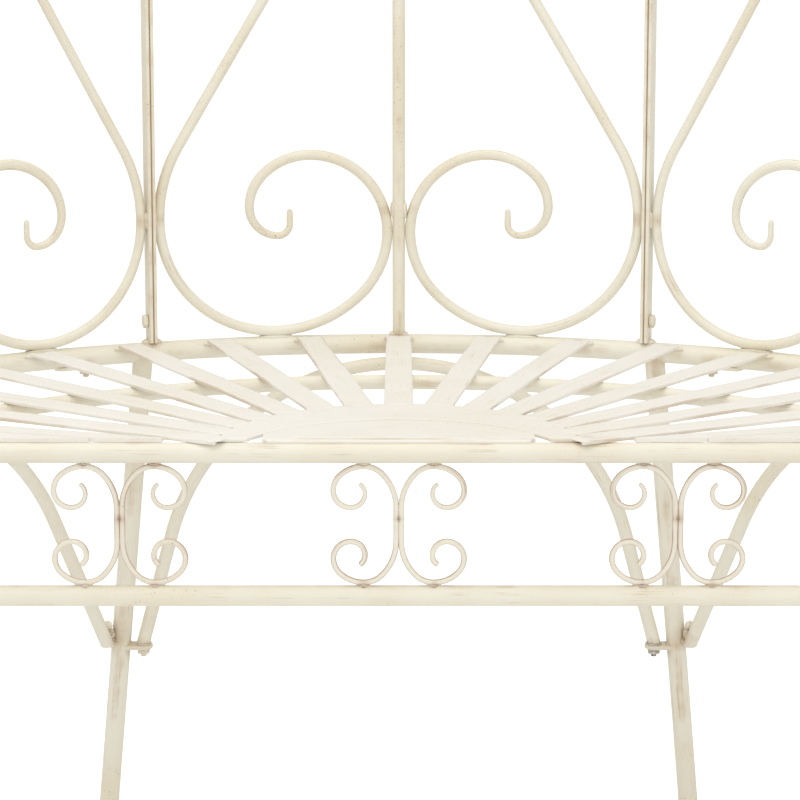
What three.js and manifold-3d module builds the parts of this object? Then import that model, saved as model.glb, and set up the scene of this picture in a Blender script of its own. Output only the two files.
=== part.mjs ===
// Curved garden bench: a D-shaped steel seat with a fan of flat slats, a three-panel scrolled back
// bolted together at paired posts, a scrolled front skirt, splayed tube legs and arched braces.
// Millimetres, +Z up, +Y towards the back, the front rail runs along X.
import * as THREE from 'three';
import { mergeVertices } from 'three/addons/utils/BufferGeometryUtils.js';
import Module from 'manifold-3d';

const wasm = await Module();
wasm.setup();

// ---- Driving dimensions: the whole seat -------------------------------------------------------
const SEAT_WIDTH = 1290; // front corner to front corner, leg axis to leg axis
const SEAT_DEPTH = 455; // front rail axis to the outer rail axis, on the centre line
const SEAT_HEIGHT = 470; // ground to the top of the slats
const BACK_HEIGHT = 500; // top of the slats to the crown of the centre of each back panel
const BACK_RISE = 55; // rise of each panel's arched top over its posts
const WELD_GAP = 0.3; // what touching pieces keep between them

// ---- Stock ------------------------------------------------------------------------------------
const FRAME_TUBE = 19; // legs and outer rail, diameter
const FRONT_TUBE = 16; // the two straight front rails, diameter
const INNER_TUBE = 13; // middle arc and the hub's arc, diameter
const BRACE_TUBE = 13; // arched braces, diameter
const TOP_TUBE = 16; // arched top of each back panel, diameter
const BAR_ROD = 12; // upright bar in the middle of each back panel, diameter
const SCROLL_ROD = 10; // back scrolls, diameter
const SKIRT_WIRE = 4.5; // front skirt scrolls, diameter
const SLAT = { width: 24.5, thick: 3 };
const POST = { wide: 20, thick: 3.5 }; // flat bar, its wide face on a radius of the seat

// ---- Seat -------------------------------------------------------------------------------------
const MIDDLE_ARC_INSET = 188; // outer rail axis in to the middle arc's axis
const HUB_CENTRE_FORWARD = 10; // the hub's centre lies this far in front of the front rail
const HUB_RADIUS = 142.5; // hub arc's axis
const SEAM_RADIUS = 134; // seam between the hub's two plates, about the fan's centre
const INNER_PLATE_HALF = 105; // the hub's inner plate, half its width
const FAN_CENTRE_FORWARD = 66; // the slats point at a spot this far in front of the front rail
const SLATS_PER_SIDE = 8; // evenly spaced slats each side of the centre slat
const LAST_SLAT_MARGIN = 11.2; // degrees of arc from the last evenly spaced slat to the corner
const EDGE_SLAT_MARGIN = 7.9; // degrees of arc from the edge slat to the corner
const SLAT_BEARING = 3; // how far a slat runs past the crown of the hub's arc

// ---- Back -------------------------------------------------------------------------------------
const CENTRE_PANEL_WIDTH = 482; // along the outer rail's axis
const SIDE_PANEL_WIDTH = 428;
const SCROLL_LEAN = 31; // degrees from upright of a scroll's straight upper run
const SCROLL_SHOULDER = 134; // radius between the straight run and the scroll's widest point
const SCROLL_BENDS = [ // [radius, degrees] from the widest point in to the tip
  [112, 90], [117, 45], [87, 45], [75, 90], [64, 45], [44, 45], [28, 90], [11, 90],
];
const SCROLL_TIP = 11; // straight end of the spiral
const SCROLL_SPAN = 220; // widest point to the centre bar side, as bent

// ---- Front skirt ------------------------------------------------------------------------------
const SKIRT_HEIGHT = 113; // between the front rails' axes
const SKIRT_PAIRS = 5;
const SKIRT_BENDS = [[37, 45], [20, 45], [26.5, 45], [16, 45], [13.5, 90], [11, 90], [9, 50]];
const STEM_LAP = 0.4; // how far the two stems of a pair melt into each other

// ---- Legs and braces --------------------------------------------------------------------------
const REAR_LEG_OFFSET = 9; // past the post pair, along the outer rail
const LEG_SPLAY = { out: 44, away: 29 }; // foot against top: sideways, and away from the seat
const BRACE_FOOT = 166; // ground to the top of the brace tabs
const BRACE_CROWN_DROP = 21; // slat underside to the axis of a brace's crown
const BRACE_LEAN = { rear: 15, side: 24.5 }; // degrees from upright of a brace's straight ends
const TAB = { reach: 22, wide: 18, thick: 4 };
const CLIP = { past: 56, reach: 22, wide: 17, thick: 3, sunk: 1.5 }; // bolt tab under the outer rail

// ---- Fasteners --------------------------------------------------------------------------------
const BOLT = { shank: 6, acrossCorners: 13.2, head: 4.5, nut: 5, washer: 16, washerThick: 1.2 };
const BOLT_FIT = 0.6; // bolt hole over shank, diameter
const LOW_BOLT_RISE = 20; // foot of the posts to their lower bolt
const HIGH_BOLT_DROP = 18; // top of the posts to their upper bolt
const THREAD_TAIL = 3; // thread past a nut

// ---- Fineness ---------------------------------------------------------------------------------
const TURN_WEIGHT = 2; // steps shared out by how far a rod turns, against one part by its length

// ---- Derived layout ---------------------------------------------------------------------------
const rad = THREE.MathUtils.degToRad;
const slatBase = SEAT_HEIGHT - SLAT.thick;
const crown = slatBase - WELD_GAP; // highest line of the tubes that carry the slats
const frontZ = crown - FRONT_TUBE / 2;
const lowerZ = frontZ - SKIRT_HEIGHT;
const outerRadius = (SEAT_WIDTH ** 2 / 4 + SEAT_DEPTH ** 2) / (2 * SEAT_DEPTH);
const arcCentreY = SEAT_DEPTH - outerRadius;
const cornerAngle = Math.atan2(SEAT_WIDTH / 2, -arcCentreY);
// The outer rail stands almost flush with the slats' top, and their ends meet its shoulder.
const outerZ = SEAT_HEIGHT - WELD_GAP - FRAME_TUBE / 2;
const outerTop = outerZ + FRAME_TUBE / 2;
const hub = new THREE.Vector2(0, -HUB_CENTRE_FORWARD);
const fan = new THREE.Vector2(0, -FAN_CENTRE_FORWARD);
const panelTop = SEAT_HEIGHT + BACK_HEIGHT - TOP_TUBE / 2;
const postTop = panelTop - BACK_RISE;
const postFoot = outerTop + WELD_GAP;
const pairArc = CENTRE_PANEL_WIDTH / 2;

// ---- Materials --------------------------------------------------------------------------------
const ivory = () => new THREE.MeshStandardMaterial({ color: 0xe8e3d0, roughness: 0.5, metalness: 0.1 });
const zinc = () => new THREE.MeshStandardMaterial({ color: 0xb4b3aa, roughness: 0.35, metalness: 0.9 });

// ---- Solids -----------------------------------------------------------------------------------
function solidOf(geometry) {
  const bare = geometry.clone();
  bare.deleteAttribute('normal');
  bare.deleteAttribute('uv');
  const merged = mergeVertices(bare, 1e-4);
  const vertProperties = Float32Array.from(merged.attributes.position.array);
  const triVerts = Uint32Array.from(merged.index.array);
  return new wasm.Manifold(new wasm.Mesh({ numProp: 3, vertProperties, triVerts }));
}

function geometryOf(solid) {
  const mesh = solid.getMesh();
  const geometry = new THREE.BufferGeometry();
  geometry.setAttribute('position', new THREE.BufferAttribute(mesh.vertProperties, 3));
  geometry.setIndex(new THREE.BufferAttribute(mesh.triVerts, 1));
  geometry.computeVertexNormals();
  return geometry;
}

function fuse(...geometries) {
  return geometryOf(geometries.map(solidOf).reduce((whole, piece) => whole.add(piece)));
}

function cut(geometry, ...cutters) {
  return geometryOf(cutters.map(solidOf).reduce((rest, cutter) => rest.subtract(cutter), solidOf(geometry)));
}

// A round bar of constant section along a curve.
class Rod {
  constructor(curve, diameter, sides, steps) {
    Object.assign(this, { curve, diameter, sides, steps });
  }

  geometry(grow = 0) {
    const radius = this.diameter / 2 + grow;
    const corners = [];
    for (let i = 0; i < this.sides; i += 1) {
      const turn = (2 * Math.PI * i) / this.sides;
      corners.push(new THREE.Vector2(radius * Math.cos(turn), radius * Math.sin(turn)));
    }
    const options = { steps: this.steps, bevelEnabled: false, extrudePath: this.curve };
    return new THREE.ExtrudeGeometry(new THREE.Shape(corners), options);
  }
}

const straight = (from, to, diameter, sides) => new Rod(new THREE.LineCurve3(from, to), diameter, sides, 1);

const turnOf = (run) => Math.abs((run.aEndAngle ?? 0) - (run.aStartAngle ?? 0));

// A flat path laid onto a surface: onto maps the path's two coordinates to a point. Its steps
// crowd where the path turns, so that tight curls stay round.
class LaidCurve extends THREE.Curve {
  constructor(path, onto) {
    super();
    Object.assign(this, { path, onto });
    const length = path.getLength();
    const turning = path.curves.reduce((sum, run) => sum + turnOf(run), 0);
    const stations = [{ share: 0, t: 0 }];
    for (const run of path.curves) {
      const last = stations[stations.length - 1];
      const part = run.getLength() / length;
      const share = (part + (TURN_WEIGHT * turnOf(run)) / turning) / (1 + TURN_WEIGHT);
      stations.push({ share: last.share + share, t: last.t + part });
    }
    this.stations = stations;
  }

  getUtoTmapping(u) {
    const next = this.stations.findIndex(({ share }, i) => i > 0 && share >= u - 1e-9);
    const [from, to] = [this.stations[next - 1], this.stations[next]];
    return Math.min(1, THREE.MathUtils.mapLinear(u, from.share, to.share, from.t, to.t));
  }

  getPoint(t, target = new THREE.Vector3()) {
    const flat = this.path.getPoint(t);
    return target.copy(this.onto(flat.x, flat.y));
  }
}

// A level arc about a centre on the Y axis, from -angle to +angle off the +Y direction.
class LevelArc extends THREE.Curve {
  constructor(centreY, radius, angle, z) {
    super();
    Object.assign(this, { centreY, radius, angle, z });
  }

  getPoint(t, target = new THREE.Vector3()) {
    const turn = this.angle * (2 * t - 1);
    return target.set(this.radius * Math.sin(turn), this.centreY + this.radius * Math.cos(turn), this.z);
  }
}

// Draws what a rod bender makes: straight runs [length] and bends [radius, degrees], all of them
// turning clockwise, from a start and a heading in degrees. Gives the path, its end and its heading.
function bent(start, heading, runs) {
  const path = new THREE.Path().moveTo(start.x, start.y);
  const at = start.clone();
  let course = rad(heading);
  for (const [size, degrees] of runs) {
    if (degrees === undefined) {
      at.add(new THREE.Vector2(Math.cos(course), Math.sin(course)).multiplyScalar(size));
      path.lineTo(at.x, at.y);
    } else {
      const from = course + Math.PI / 2;
      const to = from - rad(degrees);
      const centre = at.clone().sub(new THREE.Vector2(Math.cos(from), Math.sin(from)).multiplyScalar(size));
      path.absarc(centre.x, centre.y, size, from, to, true);
      at.set(centre.x + size * Math.cos(to), centre.y + size * Math.sin(to));
      course -= rad(degrees);
    }
  }
  return { path, end: at, heading: THREE.MathUtils.radToDeg(course) };
}

// The point a given length along the outer rail from the centre line, at height z.
function onBack(arc, z, outward = 0) {
  const turn = arc / outerRadius;
  const reach = outerRadius + outward;
  return new THREE.Vector3(reach * Math.sin(turn), arcCentreY + reach * Math.cos(turn), z);
}

// Turns and moves a geometry made about the origin: its Y axis comes to lie along a direction.
function aim(geometry, point, direction) {
  const turn = new THREE.Quaternion().setFromUnitVectors(new THREE.Vector3(0, 1, 0), direction);
  return geometry.applyQuaternion(turn).translate(point.x, point.y, point.z);
}

// ---- Assembly ---------------------------------------------------------------------------------
const bench = new THREE.Group();

function add(name, geometry, material = ivory()) {
  const mesh = new THREE.Mesh(geometry, material);
  mesh.name = name;
  bench.add(mesh);
}

const sides = [['left', -1], ['right', 1]];

// ---- Legs -------------------------------------------------------------------------------------
// A leg's axis, from the level of its top to below the ground, where it is cut off flat.
class Leg {
  constructor(top, splay) {
    this.top = top;
    this.slope = splay.clone().divideScalar(top.z).setZ(-1);
  }

  at(z) {
    return this.top.clone().addScaledVector(this.slope, this.top.z - z);
  }

  rod() {
    return straight(this.top, this.at(-FRAME_TUBE), FRAME_TUBE, 12);
  }
}

const rearArc = pairArc + REAR_LEG_OFFSET;
const legs = {};
for (const [side, sign] of sides) {
  const rearTop = onBack(sign * rearArc, outerZ - FRAME_TUBE / 4); // its rim straddles the rail
  legs[`rear_${side}`] = new Leg(rearTop, new THREE.Vector3(sign * LEG_SPLAY.out, LEG_SPLAY.away, 0));
  const frontTop = new THREE.Vector3((sign * SEAT_WIDTH) / 2, 0, crown);
  legs[`front_${side}`] = new Leg(frontTop, new THREE.Vector3(sign * LEG_SPLAY.out, -LEG_SPLAY.away, 0));
}

const outerRail = new Rod(new LevelArc(arcCentreY, outerRadius, cornerAngle, outerZ), FRAME_TUBE, 8, 40);

// ---- Braces and their tabs --------------------------------------------------------------------
const tabTop = BRACE_FOOT;
const braceFootZ = tabTop + WELD_GAP + BOLT.washerThick + WELD_GAP;
const braceCrown = slatBase - BRACE_CROWN_DROP;

// Everything under a level, for cutting ends off flat.
function below(z) {
  const block = new THREE.BoxGeometry(3 * SEAT_WIDTH, 3 * SEAT_WIDTH, 4 * FRAME_TUBE);
  return block.translate(0, 0, z - 2 * FRAME_TUBE);
}

// An arch in the upright plane through two points: straight leaning ends and a round top.
class Brace {
  constructor(from, to, lean) {
    this.middle = from.clone().add(to).multiplyScalar(0.5);
    this.half = from.distanceTo(to) / 2;
    this.along = to.clone().sub(from).normalize();
    this.lean = lean;
  }

  geometry() {
    const lean = rad(this.lean);
    const rise = braceCrown - braceFootZ;
    const spread = Math.cos(lean) - (1 - Math.sin(lean)) * Math.tan(lean);
    const radius = (this.half - rise * Math.tan(lean)) / spread;
    const run = (rise - radius * (1 - Math.sin(lean))) / Math.cos(lean);
    const spare = BRACE_TUBE / 2; // the ends are drawn long, then cut off level
    const foot = new THREE.Vector2(-this.half - spare * Math.sin(lean), braceFootZ - spare * Math.cos(lean));
    const runs = [[run + spare], [radius, 180 - 2 * this.lean], [run + spare]];
    const arch = bent(foot, 90 - this.lean, runs);
    const onto = (along, z) => this.middle.clone().addScaledVector(this.along, along).setZ(z);
    const rod = new Rod(new LaidCurve(arch.path, onto), BRACE_TUBE, 8, 30);
    return cut(rod.geometry(), below(braceFootZ));
  }
}

// A leg's tab reaches towards a neighbouring leg and carries a brace's end on a stud.
class Tab {
  constructor(leg, toward) {
    this.root = leg.at(tabTop);
    this.away = toward.at(tabTop).sub(this.root).normalize();
    this.stud = this.root.clone().addScaledVector(this.away, TAB.reach);
  }

  geometry() {
    const plate = new THREE.BoxGeometry(TAB.reach, TAB.wide, TAB.thick);
    plate.translate(TAB.reach / 2, 0, -TAB.thick / 2);
    const eye = new THREE.CylinderGeometry(TAB.wide / 2, TAB.wide / 2, TAB.thick, 16);
    eye.rotateX(Math.PI / 2).translate(TAB.reach, 0, -TAB.thick / 2);
    const tab = fuse(plate, eye);
    tab.rotateZ(Math.atan2(this.away.y, this.away.x));
    return tab.translate(this.root.x, this.root.y, tabTop);
  }

  hole() {
    const radius = (BOLT.shank + BOLT_FIT) / 2;
    const hole = new THREE.CylinderGeometry(radius, radius, 4 * TAB.thick, 12);
    return aim(hole, this.stud, new THREE.Vector3(0, 0, 1));
  }

  // The stud with the washer under the brace and the nut under the tab.
  fastener() {
    const under = tabTop - TAB.thick - WELD_GAP;
    const low = under - BOLT.nut - THREAD_TAIL;
    const washerTop = tabTop + WELD_GAP + BOLT.washerThick;
    return fuse(
      upright(BOLT.shank / 2, low, washerTop - BOLT.washerThick / 2, 10, this.stud),
      upright(BOLT.washer / 2, tabTop + WELD_GAP, washerTop, 14, this.stud),
      upright(BOLT.acrossCorners / 2, under - BOLT.nut, under, 6, this.stud),
    );
  }
}

// A prism or drum standing between two heights over a point.
function upright(radius, low, high, faces, point) {
  const drum = new THREE.CylinderGeometry(radius, radius, high - low, faces);
  return drum.rotateX(Math.PI / 2).translate(point.x, point.y, (low + high) / 2);
}

const tabs = {};
for (const [side] of sides) {
  const other = side === 'left' ? 'right' : 'left';
  tabs[`rear_${side}`] = new Tab(legs[`rear_${side}`], legs[`rear_${other}`]);
  tabs[`front_${side}`] = new Tab(legs[`front_${side}`], legs[`rear_${side}`]);
}

add('brace_rear', new Brace(tabs.rear_left.stud, tabs.rear_right.stud, BRACE_LEAN.rear).geometry());
for (const [side] of sides) {
  const beside = legs[`rear_${side}`].at(tabTop);
  const toward = tabs[`front_${side}`].stud.clone().sub(beside).normalize();
  beside.addScaledVector(toward, (FRAME_TUBE + BRACE_TUBE) / 2 + 3 * WELD_GAP);
  add(`brace_${side}`, new Brace(beside, tabs[`front_${side}`].stud, BRACE_LEAN.side).geometry());
}

// ---- Leg solids -------------------------------------------------------------------------------
for (const [side] of sides) {
  const rearTab = tabs[`rear_${side}`];
  const rearLeg = fuse(legs[`rear_${side}`].rod().geometry(), rearTab.geometry());
  add(`leg_rear_${side}`, cut(rearLeg, outerRail.geometry(WELD_GAP), rearTab.hole(), below(0)));
  const frontTab = tabs[`front_${side}`];
  const frontLeg = fuse(legs[`front_${side}`].rod().geometry(), frontTab.geometry());
  add(`leg_front_${side}`, cut(frontLeg, frontTab.hole(), below(0)));
  add(`brace_bolt_rear_${side}`, rearTab.fastener(), zinc());
  add(`brace_bolt_front_${side}`, frontTab.fastener(), zinc());
}

// ---- Outer rail, with a bolt tab welded under it past each rear leg ---------------------------
const clipTop = outerZ - FRAME_TUBE / 2 + CLIP.sunk;
const clipArc = rearArc + CLIP.past;

function clipTab(sign) {
  const middle = onBack(sign * (clipArc + CLIP.reach / 2), clipTop - CLIP.thick / 2);
  const strip = new THREE.BoxGeometry(CLIP.reach, CLIP.wide, CLIP.thick);
  strip.rotateZ((-sign * (clipArc + CLIP.reach / 2)) / outerRadius).translate(middle.x, middle.y, middle.z);
  const eye = upright(CLIP.wide / 2, clipTop - CLIP.thick, clipTop, 16, onBack(sign * clipArc, clipTop));
  return fuse(strip, eye);
}

const railHoles = [];
for (const [side, sign] of sides) {
  const stud = onBack(sign * clipArc, 0);
  railHoles.push(upright((BOLT.shank + BOLT_FIT) / 2, clipTop - FRAME_TUBE, outerZ, 12, stud));
  const nutTop = clipTop - CLIP.thick - WELD_GAP;
  const low = nutTop - BOLT.nut - THREAD_TAIL;
  const railBolt = fuse(
    upright(BOLT.shank / 2, low, outerZ - WELD_GAP, 10, stud),
    upright(BOLT.acrossCorners / 2, nutTop - BOLT.nut, nutTop, 6, stud),
  );
  add(`rail_bolt_${side}`, railBolt, zinc());
}

const legCutters = sides.map(([side]) => {
  const leg = legs[`front_${side}`];
  return straight(leg.at(2 * crown), leg.at(0), FRAME_TUBE, 12).geometry(WELD_GAP);
});
const outerRailSolid = fuse(outerRail.geometry(), clipTab(-1), clipTab(1));
add('outer_rail', cut(outerRailSolid, ...legCutters, ...railHoles));

// ---- Front rails and inner arcs ---------------------------------------------------------------
function frontRail(z) {
  const ends = [legs.front_left.at(z), legs.front_right.at(z)];
  for (const end of ends) {
    end.y = 0;
  }
  return straight(ends[0], ends[1], FRONT_TUBE, 12);
}

const upperRail = frontRail(frontZ);
add('front_rail_upper', cut(upperRail.geometry(), ...legCutters, outerRail.geometry(WELD_GAP)));
add('front_rail_lower', cut(frontRail(lowerZ).geometry(), ...legCutters));

// An arc under the slats that runs into the back of the front rail.
function seatArc(centreY, radius, diameter, steps) {
  const angle = Math.acos(-centreY / radius);
  const arc = new Rod(new LevelArc(centreY, radius, angle, crown - diameter / 2), diameter, 8, steps);
  return cut(arc.geometry(), upperRail.geometry(WELD_GAP));
}

add('middle_arc', seatArc(arcCentreY, outerRadius - MIDDLE_ARC_INSET, INNER_TUBE, 32));
add('hub_arc', seatArc(hub.y, HUB_RADIUS, INNER_TUBE, 24));

// ---- Hub plates, level with the slats ---------------------------------------------------------
const seatingRadius = HUB_RADIUS - SLAT_BEARING; // the slats' corners stand on this circle
const halfSlat = 0.6 * SLAT.width; // half of the widest inner end, cut at a slant
const bandRadius = Math.sqrt(seatingRadius ** 2 - halfSlat ** 2) - WELD_GAP;

// A plate of the slats' thickness from an outline in the seat's plane.
function levelPlate(outline) {
  const plate = new THREE.ExtrudeGeometry(outline, { depth: SLAT.thick, bevelEnabled: false, curveSegments: 28 });
  return fuse(plate.translate(0, 0, slatBase));
}

// Adds the arc where a circle about a point in front of the front rail stands behind a line.
function arcBehind(outline, centre, radius, line, clockwise) {
  const low = Math.asin((line - centre.y) / radius);
  const [from, to] = clockwise ? [Math.PI - low, low] : [low, Math.PI - low];
  outline.absarc(centre.x, centre.y, radius, from, to, clockwise);
}

const bandOutline = new THREE.Shape();
arcBehind(bandOutline, hub, bandRadius, 0, false);
arcBehind(bandOutline, fan, SEAM_RADIUS, 0, true);
add('hub_band', levelPlate(bandOutline));

const innerRadius = SEAM_RADIUS - WELD_GAP;
const innerShoulder = fan.y + Math.sqrt(innerRadius ** 2 - INNER_PLATE_HALF ** 2);
const innerOutline = new THREE.Shape().moveTo(-INNER_PLATE_HALF, 0).lineTo(INNER_PLATE_HALF, 0);
arcBehind(innerOutline, fan, innerRadius, innerShoulder, false);
add('hub_plate', levelPlate(innerOutline));

// ---- Slats ------------------------------------------------------------------------------------
// Each slat points at the fan's centre. Where neighbours crowd together, both are cut back to the
// line that halves the angle between them.
const shoulder = Math.sqrt((FRAME_TUBE / 2 + WELD_GAP) ** 2 - (slatBase - outerZ) ** 2);
const slatReach = outerRadius - shoulder - WELD_GAP;
const slatStep = (cornerAngle - rad(LAST_SLAT_MARGIN)) / SLATS_PER_SIDE;

function slatCourse(arcAngle) {
  const end = new THREE.Vector2(Math.sin(arcAngle), Math.cos(arcAngle)).multiplyScalar(outerRadius);
  end.y += arcCentreY;
  return end.sub(fan).angle();
}

// How far from the fan's centre a line offset sideways from a slat's course meets a circle.
function reachAt(course, offset, centreY, radius) {
  const along = new THREE.Vector2(Math.cos(course), Math.sin(course));
  const start = fan.clone().add(new THREE.Vector2(-along.y, along.x).multiplyScalar(offset));
  start.y -= centreY;
  const inward = start.dot(along);
  return -inward + Math.sqrt(inward ** 2 + radius ** 2 - start.lengthSq());
}

// Where that line starts: on the hub's arc or, past the arc's ends, on the front rail.
function startAt(course, offset) {
  const onHub = reachAt(course, offset, hub.y, seatingRadius);
  const onRail = (-fan.y - offset * Math.cos(course)) / Math.sin(course);
  return Math.max(onHub, onRail);
}

function slatOutline(course, halfAngles) {
  const edge = SLAT.width / 2;
  const rows = halfAngles.map((halfAngle, i) => {
    const sign = i === 0 ? 1 : -1;
    const slope = Math.tan(halfAngle);
    const inner = Math.min(edge, startAt(course, sign * edge) * slope - WELD_GAP);
    const points = [[startAt(course, sign * inner), sign * inner]];
    if (inner < edge) {
      points.push([(edge + WELD_GAP) / slope, sign * edge]);
    }
    points.push([reachAt(course, sign * edge, arcCentreY, slatReach), sign * edge]);
    return points;
  });
  const outline = [...rows[1], ...rows[0].reverse()];
  return outline.map(([along, aside]) => {
    return new THREE.Vector2(along, aside).rotateAround(new THREE.Vector2(), course).add(fan);
  });
}

const slatAngles = [-(cornerAngle - rad(EDGE_SLAT_MARGIN))];
for (let i = -SLATS_PER_SIDE; i <= SLATS_PER_SIDE; i += 1) {
  slatAngles.push(i * slatStep);
}
slatAngles.push(cornerAngle - rad(EDGE_SLAT_MARGIN));

slatAngles.forEach((arcAngle, i) => {
  const course = slatCourse(arcAngle);
  const halfAngles = [slatAngles[i - 1], slatAngles[i + 1]].map((next) => {
    return next === undefined ? Math.PI / 4 : Math.abs(slatCourse(next) - course) / 2;
  });
  const outline = new THREE.Shape(slatOutline(course, halfAngles));
  const slat = new THREE.ExtrudeGeometry(outline, { depth: SLAT.thick, bevelEnabled: false });
  add(`slat_${String(i + 1).padStart(2, '0')}`, slat.translate(0, 0, slatBase));
});

// ---- Front skirt ------------------------------------------------------------------------------
const skirtTop = frontZ - FRONT_TUBE / 2 - WELD_GAP - SKIRT_WIRE / 2;
const skirtMiddle = (frontZ + lowerZ) / 2;

// One C, its stem beside the pair's middle, its two curls away from it.
function skirtScroll() {
  const stem = new THREE.Vector2(SKIRT_WIRE / 2 - STEM_LAP / 2, skirtMiddle);
  const rise = bent(stem, 90, SKIRT_BENDS.slice(0, 2)).end.y - skirtMiddle;
  const half = skirtTop - skirtMiddle - rise;
  const upper = bent(stem, 90, [[half], ...SKIRT_BENDS]);
  const start = new THREE.Vector2(upper.end.x, 2 * skirtMiddle - upper.end.y);
  const runs = [...SKIRT_BENDS].reverse().concat([[2 * half]], SKIRT_BENDS);
  return bent(start, 180 - upper.heading, runs).path;
}

const skirtPath = skirtScroll();
const skirtSpacing = SEAT_WIDTH / (SKIRT_PAIRS + 1);
for (let i = 0; i < SKIRT_PAIRS; i += 1) {
  const middle = (i - (SKIRT_PAIRS - 1) / 2) * skirtSpacing;
  const pair = [1, -1].map((hand) => {
    const onto = (x, z) => new THREE.Vector3(middle + hand * x, 0, z);
    return new Rod(new LaidCurve(skirtPath, onto), SKIRT_WIRE, 5, 44).geometry();
  });
  add(`skirt_scroll_${i + 1}`, fuse(...pair));
}

// ---- Back panels ------------------------------------------------------------------------------
const pairInset = WELD_GAP / 2;

class Panel {
  constructor(name, centre, width) {
    Object.assign(this, { name, centre, half: width / 2 });
    this.edge = this.half - pairInset;
    const rise = BACK_RISE;
    this.archRadius = (this.edge ** 2 + rise ** 2) / (2 * rise);
  }

  onto(arc, z, outward = 0) {
    return onBack(this.centre + arc, z, outward);
  }

  archHeight(arc) {
    return panelTop - this.archRadius + Math.sqrt(this.archRadius ** 2 - arc ** 2);
  }

  // The arch is drawn past the posts' outer faces, where frame() cuts it off.
  arch() {
    const swing = Math.asin((this.edge + TOP_TUBE / 2) / this.archRadius);
    const path = new THREE.Path();
    const centreZ = panelTop - this.archRadius;
    path.absarc(0, centreZ, this.archRadius, Math.PI / 2 + swing, Math.PI / 2 - swing, true);
    return new Rod(new LaidCurve(path, (arc, z) => this.onto(arc, z)), TOP_TUBE, 8, 18);
  }

  post(sign) {
    const top = this.archHeight(this.edge - POST.thick);
    const height = top - postFoot;
    const arc = sign * (this.edge - POST.thick / 2);
    const post = new THREE.BoxGeometry(POST.thick, POST.wide, height);
    const place = this.onto(arc, postFoot + height / 2);
    return post.rotateZ(-(this.centre + arc) / outerRadius).translate(place.x, place.y, place.z);
  }

  // Everything past the upright radial face where the neighbouring panel begins.
  beyond(sign) {
    const block = new THREE.BoxGeometry(4 * TOP_TUBE, 4 * TOP_TUBE, 8 * TOP_TUBE);
    const place = this.onto(sign * this.edge, postTop);
    block.translate(sign * 2 * TOP_TUBE, 0, 0);
    return block.rotateZ(-(this.centre + sign * this.edge) / outerRadius).translate(place.x, place.y, place.z);
  }

  frame() {
    const arch = cut(this.arch().geometry(), this.beyond(-1), this.beyond(1));
    return fuse(arch, this.post(-1), this.post(1));
  }

  bar() {
    const top = this.onto(0, panelTop);
    const bar = straight(this.onto(0, postFoot), top, BAR_ROD, 8);
    return cut(bar.geometry(), this.arch().geometry(WELD_GAP));
  }

  // A scroll spans from the centre bar to the post, so its width follows the panel's.
  scroll(sign) {
    const near = (BAR_ROD + SCROLL_ROD) / 2 + WELD_GAP;
    const far = this.edge - POST.thick - WELD_GAP - SCROLL_ROD / 2;
    const stretch = (far - near) / SCROLL_SPAN;
    const lean = rad(SCROLL_LEAN);
    const low = postFoot + SCROLL_ROD / 2;
    const widest = new THREE.Vector2(SCROLL_SPAN, low + SCROLL_BENDS[0][0]);
    const neck = new THREE.Vector2(
      widest.x - SCROLL_SHOULDER * (1 - Math.cos(lean)),
      widest.y + SCROLL_SHOULDER * Math.sin(lean),
    );
    const run = this.runToArch(neck, near, stretch);
    const start = neck.clone().add(new THREE.Vector2(-Math.sin(lean), Math.cos(lean)).multiplyScalar(run));
    const runs = [[run], [SCROLL_SHOULDER, SCROLL_LEAN], ...SCROLL_BENDS, [SCROLL_TIP]];
    const path = bent(start, SCROLL_LEAN - 90, runs).path;
    const onto = (arc, z) => this.onto(sign * (near + stretch * arc), z);
    const rod = new Rod(new LaidCurve(path, onto), SCROLL_ROD, 6, 52);
    return cut(rod.geometry(), this.arch().geometry(WELD_GAP));
  }

  // The length of a scroll's straight run, up to the axis of the panel's arched top.
  runToArch(neck, near, stretch) {
    const lean = rad(SCROLL_LEAN);
    let run = 0;
    for (let i = 0; i < 30; i += 1) {
      const arc = near + stretch * (neck.x - run * Math.sin(lean));
      run = (this.archHeight(arc) - neck.y) / Math.cos(lean);
    }
    return run;
  }
}

const sideCentre = pairArc + SIDE_PANEL_WIDTH / 2;
const panels = [
  new Panel('left', -sideCentre, SIDE_PANEL_WIDTH),
  new Panel('centre', 0, CENTRE_PANEL_WIDTH),
  new Panel('right', sideCentre, SIDE_PANEL_WIDTH),
];
const boltHeights = { low: postFoot + LOW_BOLT_RISE, high: postTop - HIGH_BOLT_DROP };

// A bolt through a pair of posts: its head on the side panel's post, its end flush with the other.
function postBolt(sign, z, grow = 0) {
  const grip = POST.thick + pairInset + WELD_GAP;
  const tail = POST.thick + pairInset + (grow > 0 ? WELD_GAP : 0);
  const root = grip + BOLT.head / 2; // the shank runs on into the head
  const shank = new THREE.CylinderGeometry(BOLT.shank / 2 + grow, BOLT.shank / 2 + grow, tail + root, 10);
  shank.translate(0, (root - tail) / 2, 0);
  const head = new THREE.CylinderGeometry(BOLT.acrossCorners / 2, BOLT.acrossCorners / 2, BOLT.head, 6);
  head.translate(0, grip + BOLT.head / 2, 0);
  return aim(grow > 0 ? shank : fuse(shank, head), onBack(sign * pairArc, z), pairDirection(sign));
}

function pairDirection(sign) {
  const turn = pairArc / outerRadius;
  return new THREE.Vector3(sign * Math.cos(turn), -Math.sin(turn), 0);
}

const boltHoles = [];
for (const [side, sign] of sides) {
  for (const [level, z] of Object.entries(boltHeights)) {
    add(`post_bolt_${level}_${side}`, postBolt(sign, z), zinc());
    boltHoles.push(postBolt(sign, z, BOLT_FIT / 2));
  }
}

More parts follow.
